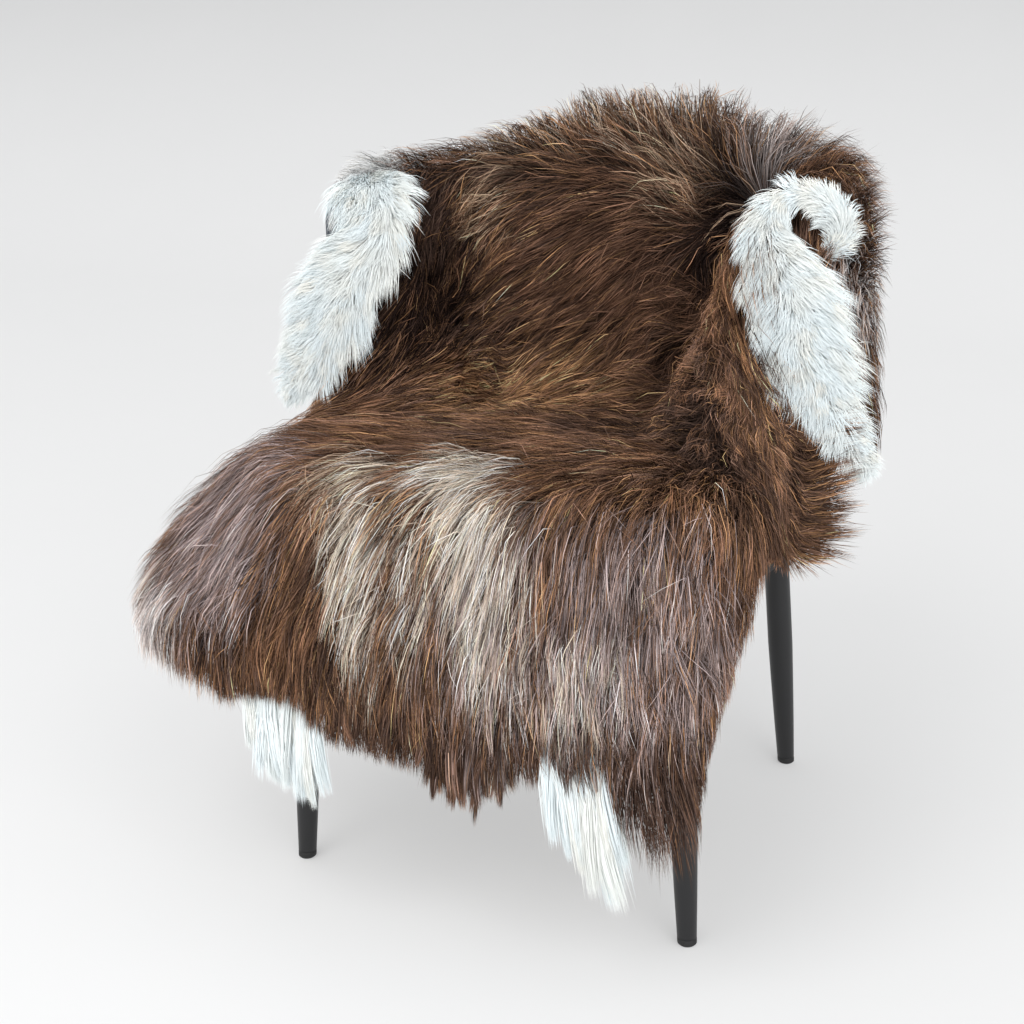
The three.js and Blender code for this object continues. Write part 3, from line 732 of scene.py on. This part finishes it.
class Ground:
    """A stretch of skin that wool grows from, as a grid of points and ways that it faces.
    Places on it run from 0 to 1 along and from -1 to 1 across."""

    def __init__(self, rows, ways, n):
        self.points = refine(rows, n)
        self.ways = unit(refine(ways, n))
        high, across = self.points.shape[:2]
        self.down = np.gradient(self.points, axis=0) * (high - 1)
        self.side = np.gradient(self.points, axis=1) * (across - 1) / 2
        self.cell = np.linalg.norm(np.cross(self.down, self.side), axis=-1)

    def at(self, grid, along, across):
        high, wide = grid.shape[:2]
        y = np.clip(along, 0, 1) * (high - 1)
        x = (np.clip(across, -1, 1) + 1) / 2 * (wide - 1)
        j = np.minimum(y.astype(int), high - 2)
        i = np.minimum(x.astype(int), wide - 2)
        ty, tx = (y - j)[:, None], (x - i)[:, None]
        top = mix(grid[j, i], grid[j, i + 1], tx)
        return mix(top, mix(grid[j + 1, i], grid[j + 1, i + 1], tx), ty)

    def sow(self, count, rng, low=0.0, high=1.0, left=-1.0, right=1.0):
        """Root places spread evenly over part of the skin."""
        rows, columns = self.cell.shape
        along = (np.arange(rows - 1) + 0.5) / (rows - 1)
        across = (np.arange(columns - 1) + 0.5) / (columns - 1) * 2 - 1
        share = self.cell[:-1, :-1].copy()
        share[(along < low) | (along > high)] = 0
        share[:, (across < left) | (across > right)] = 0
        expected = share / share.sum() * count
        number = (expected + rng.random(expected.shape)).astype(int)
        j, i = np.nonzero(number)
        j, i = (np.repeat(a, number[j, i]) for a in (j, i))
        return (
            (j + rng.random(len(j))) / (rows - 1),
            (i + rng.random(len(i))) / (columns - 1) * 2 - 1,
        )

    def hair(self, along, across, length, heading, height, stand, hang, steps, push=0.0):
        """Centre lines of hairs that run so far over the skin, and the ways they face."""
        rise = np.zeros(len(along))
        free = np.zeros((len(along), 3))
        step = length / steps
        lines, ways = [self.at(self.points, along, across)], [self.at(self.ways, along, across)]
        for k in range(1, steps + 1):
            t = k / steps
            goal = height * (1 - (1 - t) ** 2.4 - 0.18 * max(0, t - 0.6))
            climb = np.clip(goal - rise, -0.9 * step, 0.9 * step)
            climb = mix(climb, 0.94 * step, stand)
            level = np.sqrt(step**2 - climb**2)
            rise = rise + climb
            down, side = self.at(self.down, along, across), self.at(self.side, along, across)
            down_size, side_size = (np.linalg.norm(a, axis=1) for a in (down, side))
            new_along = along + np.cos(heading) * level / down_size
            new_across = across + np.sin(heading) * level / side_size
            past = (new_along - np.clip(new_along, 0, 1))[:, None] * down
            past = past + (new_across - np.clip(new_across, -1, 1))[:, None] * side
            beyond = np.linalg.norm(past, axis=1, keepdims=True)
            sag = (hang * (0.45 + 0.55 * t))[:, None]
            fall = unit(unit(past) * (1 - sag) + np.array([0, 0, -1.0]) * sag + push)
            free = free + beyond * fall
            along, across = np.clip(new_along, 0, 1), np.clip(new_across, -1, 1)
            way = self.at(self.ways, along, across)
            lines.append(self.at(self.points, along, across) + way * rise[:, None] + free)
            ways.append(way)
        return np.stack(lines, 1), unit(np.stack(ways, 1))


def read(table, x):
    return np.interp(x, *zip(*table))


def patch_share(along, across, place_along, place_across, long, wide, turn=0.0):
    """How strongly a soft patch shows at places on the skin, from 0 to 1."""
    down = (along - place_along) * SPINE_LENGTH
    side = (across - place_across) * 400
    angle = math.radians(turn)
    a = (down * math.cos(angle) + side * math.sin(angle)) / long
    b = (side * math.cos(angle) - down * math.sin(angle)) / wide
    return 1 - smoothstep(0.45, 1.45, np.hypot(a, b))


def ruffled(along, across):
    return sum(much * patch_share(along, across, *spot) for *spot, much in RUFFLES)


def flow_map(rows, columns):
    """The turns of the FLOW table, spread smoothly over a grid of places as unit arrows."""
    places = np.array(FLOW, float)
    along = np.linspace(0, 1, rows)[:, None, None]
    across = np.linspace(-1, 1, columns)[None, :, None]
    gap = ((along - places[:, 0]) * SPINE_LENGTH) ** 2 + ((across - places[:, 1]) * 300) ** 2
    weight = np.exp(-gap / (2 * 48.0**2)) + 1e-5 / (gap + 400)
    turn = np.radians(places[:, 2])
    return np.stack([(weight * np.cos(turn)).sum(-1), (weight * np.sin(turn)).sum(-1)], -1)


def drift(along, across, wave, phase):
    """A smooth uneven number from -1 to 1 over the skin, changing over about a wave in mm."""
    x, y = across * 320 / wave * 6.28, along * SPINE_LENGTH / wave * 6.28
    return (
        np.sin(x + 1.3 * np.sin(0.7 * y + phase) + phase)
        + np.sin(0.9 * y + 1.1 * np.sin(0.8 * x - phase) + 2.1 * phase)
        + 0.6 * np.sin(1.7 * x - 1.4 * y + 3.3 * phase)
    ) / 2.6


def gather(ground, roots, spacing, rng):
    """The locks that hairs belong to: lock places, and for each hair the lock nearest to it."""
    along, across = roots
    area = ground.cell.mean() * (along.max() - along.min()) * (across.max() - across.min())
    lock_along, lock_across = ground.sow(
        max(8, int(area / spacing**2)), rng, along.min(), along.max(), across.min(), across.max()
    )
    places = ground.at(ground.points, lock_along, lock_across)
    tree = KDTree(len(places))
    for k, place in enumerate(places):
        tree.insert(place, k)
    tree.balance()
    hairs = ground.at(ground.points, along, across)
    return lock_along, lock_across, np.array([tree.find(place)[1] for place in hairs])


def wool_mesh(name, lines, ways, width, tint, rng, finish, slot, *nodes, softness=0.0):
    """Flat tapering hairs along centre lines, joined into one piece. With softness, they catch
    the light more like the even nap that they make together."""
    count, rows = lines.shape[:2]
    steps = rows - 1
    t = np.linspace(0, 1, rows)[None, :, None]
    tangent = unit(np.gradient(lines, axis=1))
    aside = unit(np.cross(tangent, ways))
    twist = rng.normal(0, 0.55, (count, 1, 1))
    aside = aside * np.cos(twist) + np.cross(tangent, aside) * np.sin(twist)
    half = width[:, None, None] / 2 * (1 - t**3) * (0.75 + 0.25 * np.minimum(1, 3 * t))
    pairs = np.stack([lines - aside * half, lines + aside * half], 2)[:, :steps]
    points = np.concatenate([pairs.reshape(count, 2 * steps, 3), lines[:, steps:]], 1)
    each = 2 * steps + 1
    faces = [c for r in range(steps - 1) for c in (2 * r, 2 * r + 1, 2 * r + 3, 2 * r + 2)]
    faces += [2 * steps - 2, 2 * steps - 1, 2 * steps]
    corners = (np.arange(count)[:, None] * each + np.array(faces)).ravel()
    sizes = np.tile([4] * (steps - 1) + [3], count)
    mesh = bpy.data.meshes.new(name)
    mesh.vertices.add(count * each)
    mesh.vertices.foreach_set("co", in_place(points).astype(np.float32).ravel())
    mesh.loops.add(len(corners))
    mesh.loops.foreach_set("vertex_index", corners.astype(np.int32))
    mesh.polygons.add(len(sizes))
    mesh.polygons.foreach_set("loop_start", (np.cumsum(sizes) - sizes).astype(np.int32))
    mesh.update(calc_edges=True)
    colour = np.repeat(tint[:, :steps], 2, axis=1)
    colour = np.concatenate([colour, tint[:, steps:]], 1).reshape(-1, 3)
    colour = np.concatenate([colour, np.ones((len(colour), 1))], 1)
    layer = mesh.color_attributes.new("tint", "FLOAT_COLOR", "POINT")
    layer.data.foreach_set("color", colour.astype(np.float32).ravel())
    columns = math.ceil(math.sqrt(3 * count))
    cell = np.arange(count)
    corner_x = np.array([0, 1] * steps + [0.5])
    corner_y = np.append(np.repeat(np.arange(steps) / steps, 2), 1)
    u = (cell % columns)[:, None] + 0.1 + 0.8 * corner_x
    v = (cell // columns)[:, None] + 0.05 + 0.9 * corner_y
    places = np.stack([u / columns, v / math.ceil(count / columns)], -1).reshape(-1, 2)
    layout = mesh.uv_layers.new(name="OFBake")
    layout.data.foreach_set("uv", places[corners].astype(np.float32).ravel())
    mesh.shade_smooth()
    if softness:
        own = unit(np.cross(aside, tangent))
        soft = unit(mix(own, ways, softness))
        soft = np.concatenate([np.repeat(soft[:, :steps], 2, axis=1), soft[:, steps:]], 1)
        mesh.normals_split_custom_set_from_vertices(soft.reshape(-1, 3))
    mesh.materials.append(finish)
    thing = bpy.data.objects.new(name, mesh)
    bpy.context.scene.collection.objects.link(thing)
    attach(thing, "root")
    if nodes:
        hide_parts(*nodes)
    return thing


def wool_finish(name, low, high):
    """Wool in the colours of its own hairs, a little darker and lighter in clouds, with no
    gloss."""
    wool = Finish(name)
    tint = wool.node("ShaderNodeAttribute", {"attribute_name": "tint"}, {}, "Color")
    cloud = wool.noise(wool.place(), 38.0, 3.0)
    clouded = wool.node("ShaderNodeHueSaturation", {}, {"Color": tint, "Value": low + cloud * high})
    return wool.surface(colour=clouded, roughness=0.6, gloss=0.0)


brown_wool = wool_finish("brown_wool", 0.72, 0.56)


def brown_tints(shown, t, rng, owner):
    """Colours down each hair: painted shade at the root, the colour of its place and lock, a
    lighter tip that is partly painted highlight. The place that counts is the one where the hair
    shows."""
    tones = {name: np.array(shade(*seen)[:3]) for name, seen in PALETTE.items()}
    along, across = shown
    count, locks = len(along), owner.max() + 1

    def chance(kept_together):
        lock_chance = rng.random(locks)[owner]
        return np.where(rng.random(count) < kept_together, lock_chance, rng.random(count))

    warmth = 0.5 + 0.35 * drift(along, across, 210, 1.0) + rng.normal(0, 0.2, locks)[owner]
    depth = 0.5 + 0.4 * drift(along, across, 130, 2.6) + rng.normal(0, 0.22, locks)[owner]
    warmth = np.clip(warmth + rng.normal(0, 0.12, count), 0, 1)[:, None]
    depth = np.clip(depth + rng.normal(0, 0.12, count), 0, 1)[:, None]
    base = mix(tones["umber"], mix(tones["chocolate"], tones["red"], warmth), depth)
    # Painted shade on the back and painted light on the seat, by place along the skin. One patch on
    # the right of the back is made lighter still.
    light = read(BROWN_PAINTED_LIGHT_AND_SHADE, along)
    light = light * mix(1, 1.9, patch_share(along, across, 0.43, 0.45, 130, 110))
    base = base * light[:, None]
    # Some hairs amber: golden hairs that also stand for painted highlights.
    base = np.where(chance(0.3)[:, None] > 0.86, tones["amber"] * 0.8, base)
    base = np.where(chance(0.5)[:, None] > 0.94, tones["black"], base)
    for _, *spot, colour, share in PATCHES:
        show = patch_share(along, across, *spot) * share
        take = smoothstep(-0.15, 0.15, show - chance(0.5)) * np.minimum(1, 5 * show)
        base = mix(base, tones[colour], take[:, None])
    tint = base * np.exp(0.24 * drift(along, across, 62, 1.9))[:, None]
    tint = tint * rng.lognormal(0, 0.26, (locks, 1))[owner] * rng.lognormal(0, 0.48, (count, 1))
    t = t[None, :, None]
    # Painted shade at the root, and a lighter tip that is partly painted highlight.
    shadow = mix(ROOT_LIGHT_IN_PAINTED_SHADE, 1, np.clip(t / 0.66, 0, 1) ** 1.3)
    tip = mix(np.ones(3), TIP_LIGHT_AND_PAINTED_HIGHLIGHT, np.clip(t - 0.5, 0, 1) * 2)
    return np.clip(tint[:, None] * shadow * tip, 0.002, 0.9)


def draw_in(lines, goals, pull, loose, rng):
    """Draws hairs in towards their locks, each to a line of its own that ends loose mm away."""
    t = np.linspace(0, 1, lines.shape[1])[None, :, None]
    beside = rng.normal(0, loose, (len(lines), 1, 3)) * t
    return mix(lines, goals + beside, pull[:, :, None])


FLOW_MAP = flow_map(101, 69)


def comb(name, ground, roots, rng, *nodes):
    """Brown wool over part of the hide: grown hair by hair, drawn into locks and coloured."""
    along, across = roots
    lock_along, lock_across, owner = gather(ground, roots, LOCK_SPACING, rng)
    locks, count, steps = len(lock_along), len(along), 4
    t = np.linspace(0, 1, steps + 1)

    def grow(along, across, length, swing, height_share):
        arrow = ground.at(FLOW_MAP, along, across)
        outside = smoothstep(0.235, 0.185, along)
        fall = [-unit(ground.at(way, along, across))[:, 2] for way in (ground.down, ground.side)]
        fall = np.stack(fall, -1)
        falling = outside * mix(1, 0.25, smoothstep(0.55, 0.85, across))
        arrow = mix(unit(arrow), unit(fall), falling[:, None])
        ruffle = (0.16 + ruffled(along, across)) * drift(along, across, 95, 0.4)
        heading = np.arctan2(arrow[:, 1], arrow[:, 0]) + swing + ruffle
        edge = np.minimum((1 - np.abs(across)) * ACROSS / 2, np.minimum(along, 1 - along) * ALONG)
        crest = smoothstep(0.16, 0.225, along) * smoothstep(0.31, 0.24, along)
        full = mix(PILE["back"], PILE["seat"], smoothstep(0.42, 0.65, along))
        full = full + PILE["crest"] * crest * smoothstep(-0.4, 0.1, across)
        lumps = 1 + 0.28 * drift(along, across, 85, 3.1)
        height = mix(PILE["hem"], full, smoothstep(0, 4, edge)) * height_share * lumps
        height = height * mix(1, 1.2, smoothstep(0.3, 0.24, along) * smoothstep(0.5, 0.8, across))
        height = height + PILE["shoulder"] * patch_share(along, across, 0.26, 0.62, 60, 110)
        stand = crest * read(STAND, across) * rng.uniform(0.7, 1.0, len(along))
        front = read(FRONT_REACH, across) + (1 - along) * SPINE_LENGTH
        neck = NECK_REACH + along * SPINE_LENGTH
        past_side = np.where(across < 0, read(LEFT_REACH, along), read(RIGHT_REACH, along))
        side = past_side + (1 - np.abs(across)) * 300 / np.maximum(0.2, np.abs(np.sin(heading)))
        room = np.minimum(np.where(outside > 0.5, neck, front), side)
        length = np.minimum(length, room * rng.uniform(0.8, 1.04, len(along)))
        hang = np.where(outside > 0.5, OUTSIDE_SAG, read(SAG, along))
        reach = 0.6 * length * (1 - 0.85 * stand)
        shown = (
            np.clip(along + reach * np.cos(heading) / SPINE_LENGTH, 0, 1.02),
            np.clip(across + reach * np.sin(heading) / 310, -1, 1),
        )
        push = patch_share(along, across, 0.48, 1.0, 85, 150)[:, None] * np.array([3.0, 0, 0.7])
        length = np.maximum(length, SHORTEST_HAIR)
        grown = ground.hair(along, across, length, heading, height, stand, hang, steps, push)
        return *grown, shown

    tall = patch_share(lock_along, lock_across, 0.245, 0.42, 60, 150)
    lock_length = rng.uniform(*LOCK_LENGTH, locks)
    lock_length = lock_length * mix(0.8 + 0.35 * tall, 1, smoothstep(0.5, 0.7, lock_along))
    short = patch_share(lock_along, lock_across, 0.5, 0.62, 170, 120)
    lock_length = lock_length * mix(1, 0.62, short)
    hem_reach = read(FRONT_REACH, lock_across) * rng.uniform(0.85, 1.05, locks)
    lock_length = np.maximum(lock_length, hem_reach * smoothstep(0.93, 0.97, lock_along))
    lock_swing = rng.normal(0, 0.13, locks)
    lock_height = rng.uniform(0.6, 1.0, locks)
    lock_lines, _, _ = grow(lock_along, lock_across, lock_length, lock_swing, lock_height)
    wild = rng.random(count) < STRAY_HAIRS
    length = lock_length[owner] * rng.uniform(0.7, 1.1, count)
    swing = lock_swing[owner] + rng.normal(0, 0.09, count) + wild * rng.normal(0, 0.45, count)
    height = lock_height[owner] * rng.uniform(0.3, 1.05, count) + wild * 0.15
    lines, ways, shown = grow(along, across, length, swing, height)
    strength = np.where(wild, 0.05, rng.uniform(0.15, 0.85, locks)[owner])
    pull = strength[:, None] * smoothstep(0.15, 1.0, t)
    lines = draw_in(lines, lock_lines[owner], pull, 1.5, rng)
    curl = 1.5 + 3 * smoothstep(0.16, 0.22, along) * smoothstep(0.36, 0.28, along)
    curl = curl + 5 * ruffled(along, across)
    bend = rng.random(locks)[owner] * 6.3 + rng.normal(0, 0.5, count)
    wave = np.sin(bend[:, None] + t * (4 + 2 * rng.random(count)[:, None])) - np.sin(bend)[:, None]
    aside = unit(np.cross(np.gradient(lines, axis=1), ways))
    lines = lines + aside * (wave * t * curl[:, None])[:, :, None]
    lines[..., 2] = np.clip(lines[..., 2], *HAIR_ROOM)
    width = rng.uniform(0.5, 1.0, count) * np.interp(along, [0, 0.2, 0.25], [1.4, 1.3, 1])
    tint = brown_tints(shown, t, rng, owner)
    return wool_mesh(name, lines, ways, width, tint, rng, brown_wool, "wool", *nodes)


place = np.linspace(0, 1, ALONG + 1)[:, None, None]
crest = smoothstep(0.13, 0.21, place) * smoothstep(0.33, 0.27, place)
upright_ways = unit(leather_ways + np.array([0, 0, 1.6]) * crest)
hide_ground = Ground(leather + leather_ways * 2.0, upright_ways, 4)
FRONT_RUNS = ("hem_front_left", "hem_front_middle", "hem_front_inner", "hem_front_right")
# Name, hairs, where they grow along the skin, where they start across it, and the model's nodes
# that they stand for. The fold is the thick wool where the skin turns up the right wing.
FLEECE = [
    ("fleece_neck", 13000, 0.0, 0.215, -1, ("hem_neck", "hem_outer_right")),
    ("fleece_back", 27000, 0.215, 0.46, -1, ()),
    ("fleece_seat", 26000, 0.46, 0.72, -1, ()),
    ("fleece_skirt", 23000, 0.72, 0.89, -1, ("hem_left", "hem_right")),
    ("fleece_hem", 14000, 0.89, 1.0, -1, FRONT_RUNS),
    ("fleece_fold", 7000, 0.415, 0.57, 0.72, ()),
]
for seed, (name, count, low, high, left, nodes) in enumerate(FLEECE):
    rng = np.random.default_rng(40 + seed)
    roots = hide_ground.sow(count, rng, low, high, left)
    comb(name, hide_ground, roots, rng, *nodes)


# Tail and hind tufts: longer locks at the rump's hem. The tail is brown, and the wool of the
# two hind shanks is white.
white_wool = wool_finish("white_wool", 0.95, 0.1)


WHITES = {"cool": (238, 246, 248), "warm": (244, 244, 238)}


def white_tints(t, rng, owner, locks, painted_root_shade):
    """Colours down each white hair, a little darker at the root as painted shade, by the given
    share.
    """
    cool, warm = (np.array(shade(*seen)[:3]) for seen in WHITES.values())
    base = mix(cool, warm, rng.random((locks, 1)) ** 2) * rng.uniform(0.95, 1.01, (locks, 1))
    tint = base[owner] * rng.lognormal(0, 0.03, (len(owner), 1))
    t = t[None, :, None]
    return np.clip(tint[:, None] * (painted_root_shade + (1 - painted_root_shade) * np.clip(t / 0.3, 0, 1)), 0, 0.96)


def tuft(name, ground, roots, rng, reach, lean, white, *nodes):
    """A bunch of long locks that hang past the rump's hem as far as reach says."""
    along, across = roots
    lock_along, lock_across, owner = gather(ground, roots, 9, rng)
    locks, count, steps = len(lock_along), len(along), 4
    t = np.linspace(0, 1, steps + 1)

    def grow(along, across, share, swing, height):
        length = read(reach, across) * share + (1 - along) * SPINE_LENGTH
        none = np.zeros(len(along))
        return ground.hair(along, across, length, lean + swing, height, none, none + 0.8, steps)

    lock_share = rng.uniform(0.78 if white else 0.6, 1.0, locks)
    lock_swing = rng.normal(0, 0.1, locks)
    lock_height = rng.uniform(8, 24, locks)
    lock_lines, _ = grow(lock_along, lock_across, lock_share, lock_swing, lock_height)
    share = lock_share[owner] * rng.uniform(0.72, 1.03, count)
    height = lock_height[owner] * rng.uniform(0.4, 1.1, count)
    lines, ways = grow(along, across, share, lock_swing[owner] + rng.normal(0, 0.07, count), height)
    pull = rng.uniform(0.5, 0.9, locks)[owner][:, None] * smoothstep(0.1, 1, t)
    lines = draw_in(lines, lock_lines[owner], pull, 1.3, rng)
    width = rng.uniform(0.6, 1.3, count)
    if white:
        tint = white_tints(t, rng, owner, locks, 0.75)
        looks = (width, tint, rng, white_wool, "white_wool")
        return wool_mesh(name, lines, ways, *looks, *nodes, softness=0.75)
    tint = brown_tints((along, across), t, rng, owner)
    return wool_mesh(name, lines, ways, width, tint, rng, brown_wool, "wool", *nodes)


# How far the tufts hang past the hem, from left to right.
LEFT_TUFT = [(-0.60, 60), (-0.52, 96), (-0.43, 112), (-0.38, 88)]
RIGHT_TUFT = [(0.41, 70), (0.46, 118), (0.49, 96), (0.56, 172), (0.62, 120)]
TAIL = [(0.0, 50), (0.08, 78), (0.2, 88), (0.3, 60)]
# Name, hairs, where they start along the skin, reach, lean to the right in radians, whether
# they are white, and the model's node that they stand for.
TUFTS = [
    ("tuft_left", 3600, 0.962, LEFT_TUFT, 0.1, True, "hind_tuft_left"),
    ("tuft_right", 4600, 0.966, RIGHT_TUFT, 0.25, True, "hind_tuft_right"),
    ("tail_lock", 1900, 0.97, TAIL, 0.0, False, "tail"),
]
for seed, (name, count, low, reach, lean, white, node) in enumerate(TUFTS):
    rng = np.random.default_rng(60 + seed)
    left, right = reach[0][0], reach[-1][0]
    roots = hide_ground.sow(count, rng, low, 1.0, left, right)
    tuft(name, hide_ground, roots, rng, reach, lean, white, node)


# Fore shanks: the narrow ends of the skin's front legs, with short white wool. The left one
# hangs inside the left wing; the right one is folded back over the top of the right wing.
# Each row: a place on the suede side, the way the wool faces, and the strip's width.
SHANK_HAIRS = 11000
SHANKS = {
    "left": [
        (-238, 20, 720, 0.1, -0.2, 1, 50),
        (-212, -14, 712, 0, -0.5, 0.87, 66),
        (-192, -38, 690, 0.1, -0.95, 0.35, 60),
        (-192, -54, 666, 0, -1, 0.2, 62),
        (-208, -62, 641, -0.1, -1, 0.2, 66),
        (-224, -66, 614, -0.1, -1, 0.2, 78),
        (-236, -70, 587, -0.1, -1, 0.2, 72),
        (-249, -74, 561, -0.15, -1, 0.2, 62),
        (-263, -78, 535, -0.2, -1, 0.25, 56),
        (-276, -82, 511, -0.2, -1, 0.25, 34),
        (-284, -84, 494, -0.25, -1, 0.3, 14),
    ],
    "right": [
        (292, -20, 676, 0.1, -1, 0.2, 8),
        (305, -22, 694, 0.1, -1, 0.2, 20),
        (306, -24, 715, 0.1, -1, 0.3, 22),
        (290, -26, 731, 0, -1, 0.4, 20),
        (268, -28, 735, 0, -1, 0.4, 16),
        (247, -30, 726, 0, -1, 0.3, 22),
        (238, -34, 700, -0.1, -1, 0.2, 36),
        (256, -44, 661, -0.1, -1, 0.2, 58),
        (277, -54, 626, -0.05, -1, 0.2, 64),
        (289, -62, 591, 0, -1, 0.2, 62),
        (304, -66, 565, 0.1, -1, 0.2, 50),
        (318, -68, 537, 0.15, -1, 0.25, 38),
        (332, -68, 511, 0.15, -1, 0.25, 28),
        (347, -66, 484, 0.2, -1, 0.3, 18),
        (352, -64, 472, 0.2, -1, 0.3, 8),
    ],
}
white_ground = Finish("white_wool_roots")
pale_tone = white_ground.noise(white_ground.place(), 200.0, 4.0)
pale_roots = white_ground.surface(
    colour=white_ground.blend(pale_tone, shade(226, 230, 230), shade(242, 246, 246)),
    roughness=0.85,
    height=pale_tone,
    depth=0.001,
    strength=0.6,
)
for seed, (side, rows) in enumerate(SHANKS.items()):
    line = refine(np.array(rows, float)[:, None].repeat(2, 1), 2)[:, 0]
    centre, way, width = line[:, :3], unit(line[:, 3:6]), line[:, 6]
    aside = unit(np.cross(way, np.gradient(centre, axis=0)))
    across = np.linspace(-1, 1, 9)[None, :, None]
    rows = centre[:, None] + aside[:, None] * across * width[:, None, None] / 2
    rows = rows + way[:, None] * 0.5
    ways = unit(way[:, None] + aside[:, None] * across * 0.35)
    strip = sheet_body(rows, ways, 2.0)
    skin = piece(f"shank_{side}_skin", strip, suede_side, "white_wool")
    skin.data.materials.append(pale_roots)
    skin.data.shade_smooth()
    rng = np.random.default_rng(80 + seed)
    strip_ground = Ground(rows + ways * 2, ways, 3)
    along, over = strip_ground.sow(SHANK_HAIRS, rng)
    lock_along, lock_over, owner = gather(strip_ground, (along, over), 9, rng)
    locks, count = len(lock_along), len(along)
    steps = 3
    t = np.linspace(0, 1, steps + 1)

    def grow(along, over, length, swing, height):
        heading = over * 0.95 + swing
        fullness = np.interp(along * (len(width) - 1), np.arange(len(width)), 0.38 + width / 140)
        few = np.full(len(along), 0.12)
        return strip_ground.hair(
            along, over, length * fullness, heading, height * fullness, few, few + 0.3, steps
        )

    lock_length = rng.uniform(28, 38, locks) * (1 + 0.3 * lock_over**4)
    lock_swing = rng.normal(0, 0.2, locks)
    lock_height = rng.uniform(14, 22, locks) * (1 - 0.45 * lock_over**2)
    lock_lines, _ = grow(lock_along, lock_over, lock_length, lock_swing, lock_height)
    wild = rng.random(count) < STRAY_HAIRS
    length = lock_length[owner] * rng.uniform(0.8, 1.12, count)
    swing = lock_swing[owner] + rng.normal(0, 0.15, count) + wild * rng.normal(0, 0.6, count)
    height = lock_height[owner] * rng.uniform(0.5, 1.1, count)
    lines, ways = grow(along, over, length, swing, height)
    pull = np.where(wild, 0.05, rng.uniform(0, 0.3, locks)[owner])[:, None] * smoothstep(0.1, 1, t)
    lines = mix(lines, lock_lines[owner], pull[:, :, None])
    tint = white_tints(t, rng, owner, locks, 0.97)
    width_of_hair = rng.uniform(0.42, 0.8, count)
    looks = (width_of_hair, tint, rng, white_wool, "white_wool")
    wool = wool_mesh(f"shank_{side}_wool", lines, ways, *looks, softness=0.85)
    length = float(np.linalg.norm(np.diff(centre, axis=0), axis=1).sum()) / 1000


# Room: a pale floor that curves up into a pale wall, two broad soft lamps in front, high on the
# left and on the right, and the camera where the photograph was taken from. The paper is darker
# up the wall as painted shade, and glows a little as painted light that softens its shadows.
room = bmesh.new()
curve = [(-30.0, 0.0), (2.4, 0.0)]
curve += [(2.4 + 2.0 * math.sin(a), 2.0 - 2.0 * math.cos(a)) for a in np.linspace(0.1, 1.45, 14)]
curve += [(4.45, 9.0)]
strip = [room.verts.new((-30.0, y, z)) for y, z in curve]
edges = [room.edges.new(pair) for pair in zip(strip, strip[1:])]
swept = bmesh.ops.extrude_edge_only(room, edges=edges)["geom"]
moved = [v for v in swept if isinstance(v, bmesh.types.BMVert)]
bmesh.ops.translate(room, verts=moved, vec=(60.0, 0, 0))
bmesh.ops.recalc_face_normals(room, faces=room.faces)
mesh = bpy.data.meshes.new("pale_floor")
room.to_mesh(mesh)
room.free()
mesh.shade_smooth()
floor = bpy.data.objects.new("pale_floor", mesh)
bpy.context.scene.collection.objects.link(floor)
paper = Finish("pale_paper_painted_light_and_shade")
mottle = paper.noise(paper.place(), 3.0, 4.0)
*_, z = paper.axes(paper.place())
# Painted shade: the paper is darker the higher it goes up the wall.
height = paper.node("ShaderNodeMapRange", {}, {0: z, 1: 0.0, 2: 1.6})
pale = paper.blend(height, shade(231, 231, 231), shade(174, 174, 174))
lit = paper.blend(mottle * 0.06, pale, shade(255, 255, 255))
# Painted light: the paper also glows a little, which lightens the shadows on it, and its base
# colour is dimmed to make up for the glow.
grey = paper.blend(1.0, lit, (0.62, 0.62, 0.62, 1.0), "MULTIPLY")
mesh.materials.append(paper.surface(colour=grey, roughness=0.9, glow=lit))

sky = bpy.data.worlds.new("soft_sky")
sky.use_nodes = True
sky.node_tree.nodes["Background"].inputs["Color"].default_value = (0.98, 0.99, 1.0, 1)
sky.node_tree.nodes["Background"].inputs["Strength"].default_value = 1.06
bpy.context.scene.world = sky


def lamp(name, place, target, size, watts):
    light = bpy.data.lights.new(name, "AREA")
    light.shape, light.size, light.energy = "DISK", size, watts
    holder = bpy.data.objects.new(name, light)
    holder.location = place
    holder.rotation_euler = (Vector(target) - Vector(place)).to_track_quat("-Z", "Y").to_euler()
    bpy.context.scene.collection.objects.link(holder)


lamp("window", (-0.6, -2.6, 3.1), (0, 0, 0.4), 2.8, 52)
lamp("fill", (2.4, -2.2, 2.5), (0.3, 0, 0.3), 2.6, 36)

AZIMUTH, ELEVATION, ROLL = (math.radians(a) for a in (24.845, 19.482, -1.267))
CAMERA_PLACE = Vector((CHAIR[0] + 0.698157, CHAIR[1] - 1.635067, 0.999749))
FOCAL_LENGTH = 59.77
backward = Vector(
    (
        math.sin(AZIMUTH) * math.cos(ELEVATION),
        -math.cos(AZIMUTH) * math.cos(ELEVATION),
        math.sin(ELEVATION),
    )
)
across = Vector((math.cos(AZIMUTH), math.sin(AZIMUTH), 0))
upward = backward.cross(across)
right = math.cos(ROLL) * across + math.sin(ROLL) * upward
top = math.cos(ROLL) * upward - math.sin(ROLL) * across
lens = bpy.data.cameras.new("camera")
lens.sensor_fit = "HORIZONTAL"
lens.sensor_width = 36
lens.lens = FOCAL_LENGTH
camera = bpy.data.objects.new("camera", lens)
turned = Matrix((right, top, backward)).transposed().to_4x4()
camera.matrix_world = Matrix.Translation(CAMERA_PLACE) @ turned
bpy.context.scene.collection.objects.link(camera)
bpy.context.scene.camera = camera
bpy.context.scene.view_settings.view_transform = "Standard"
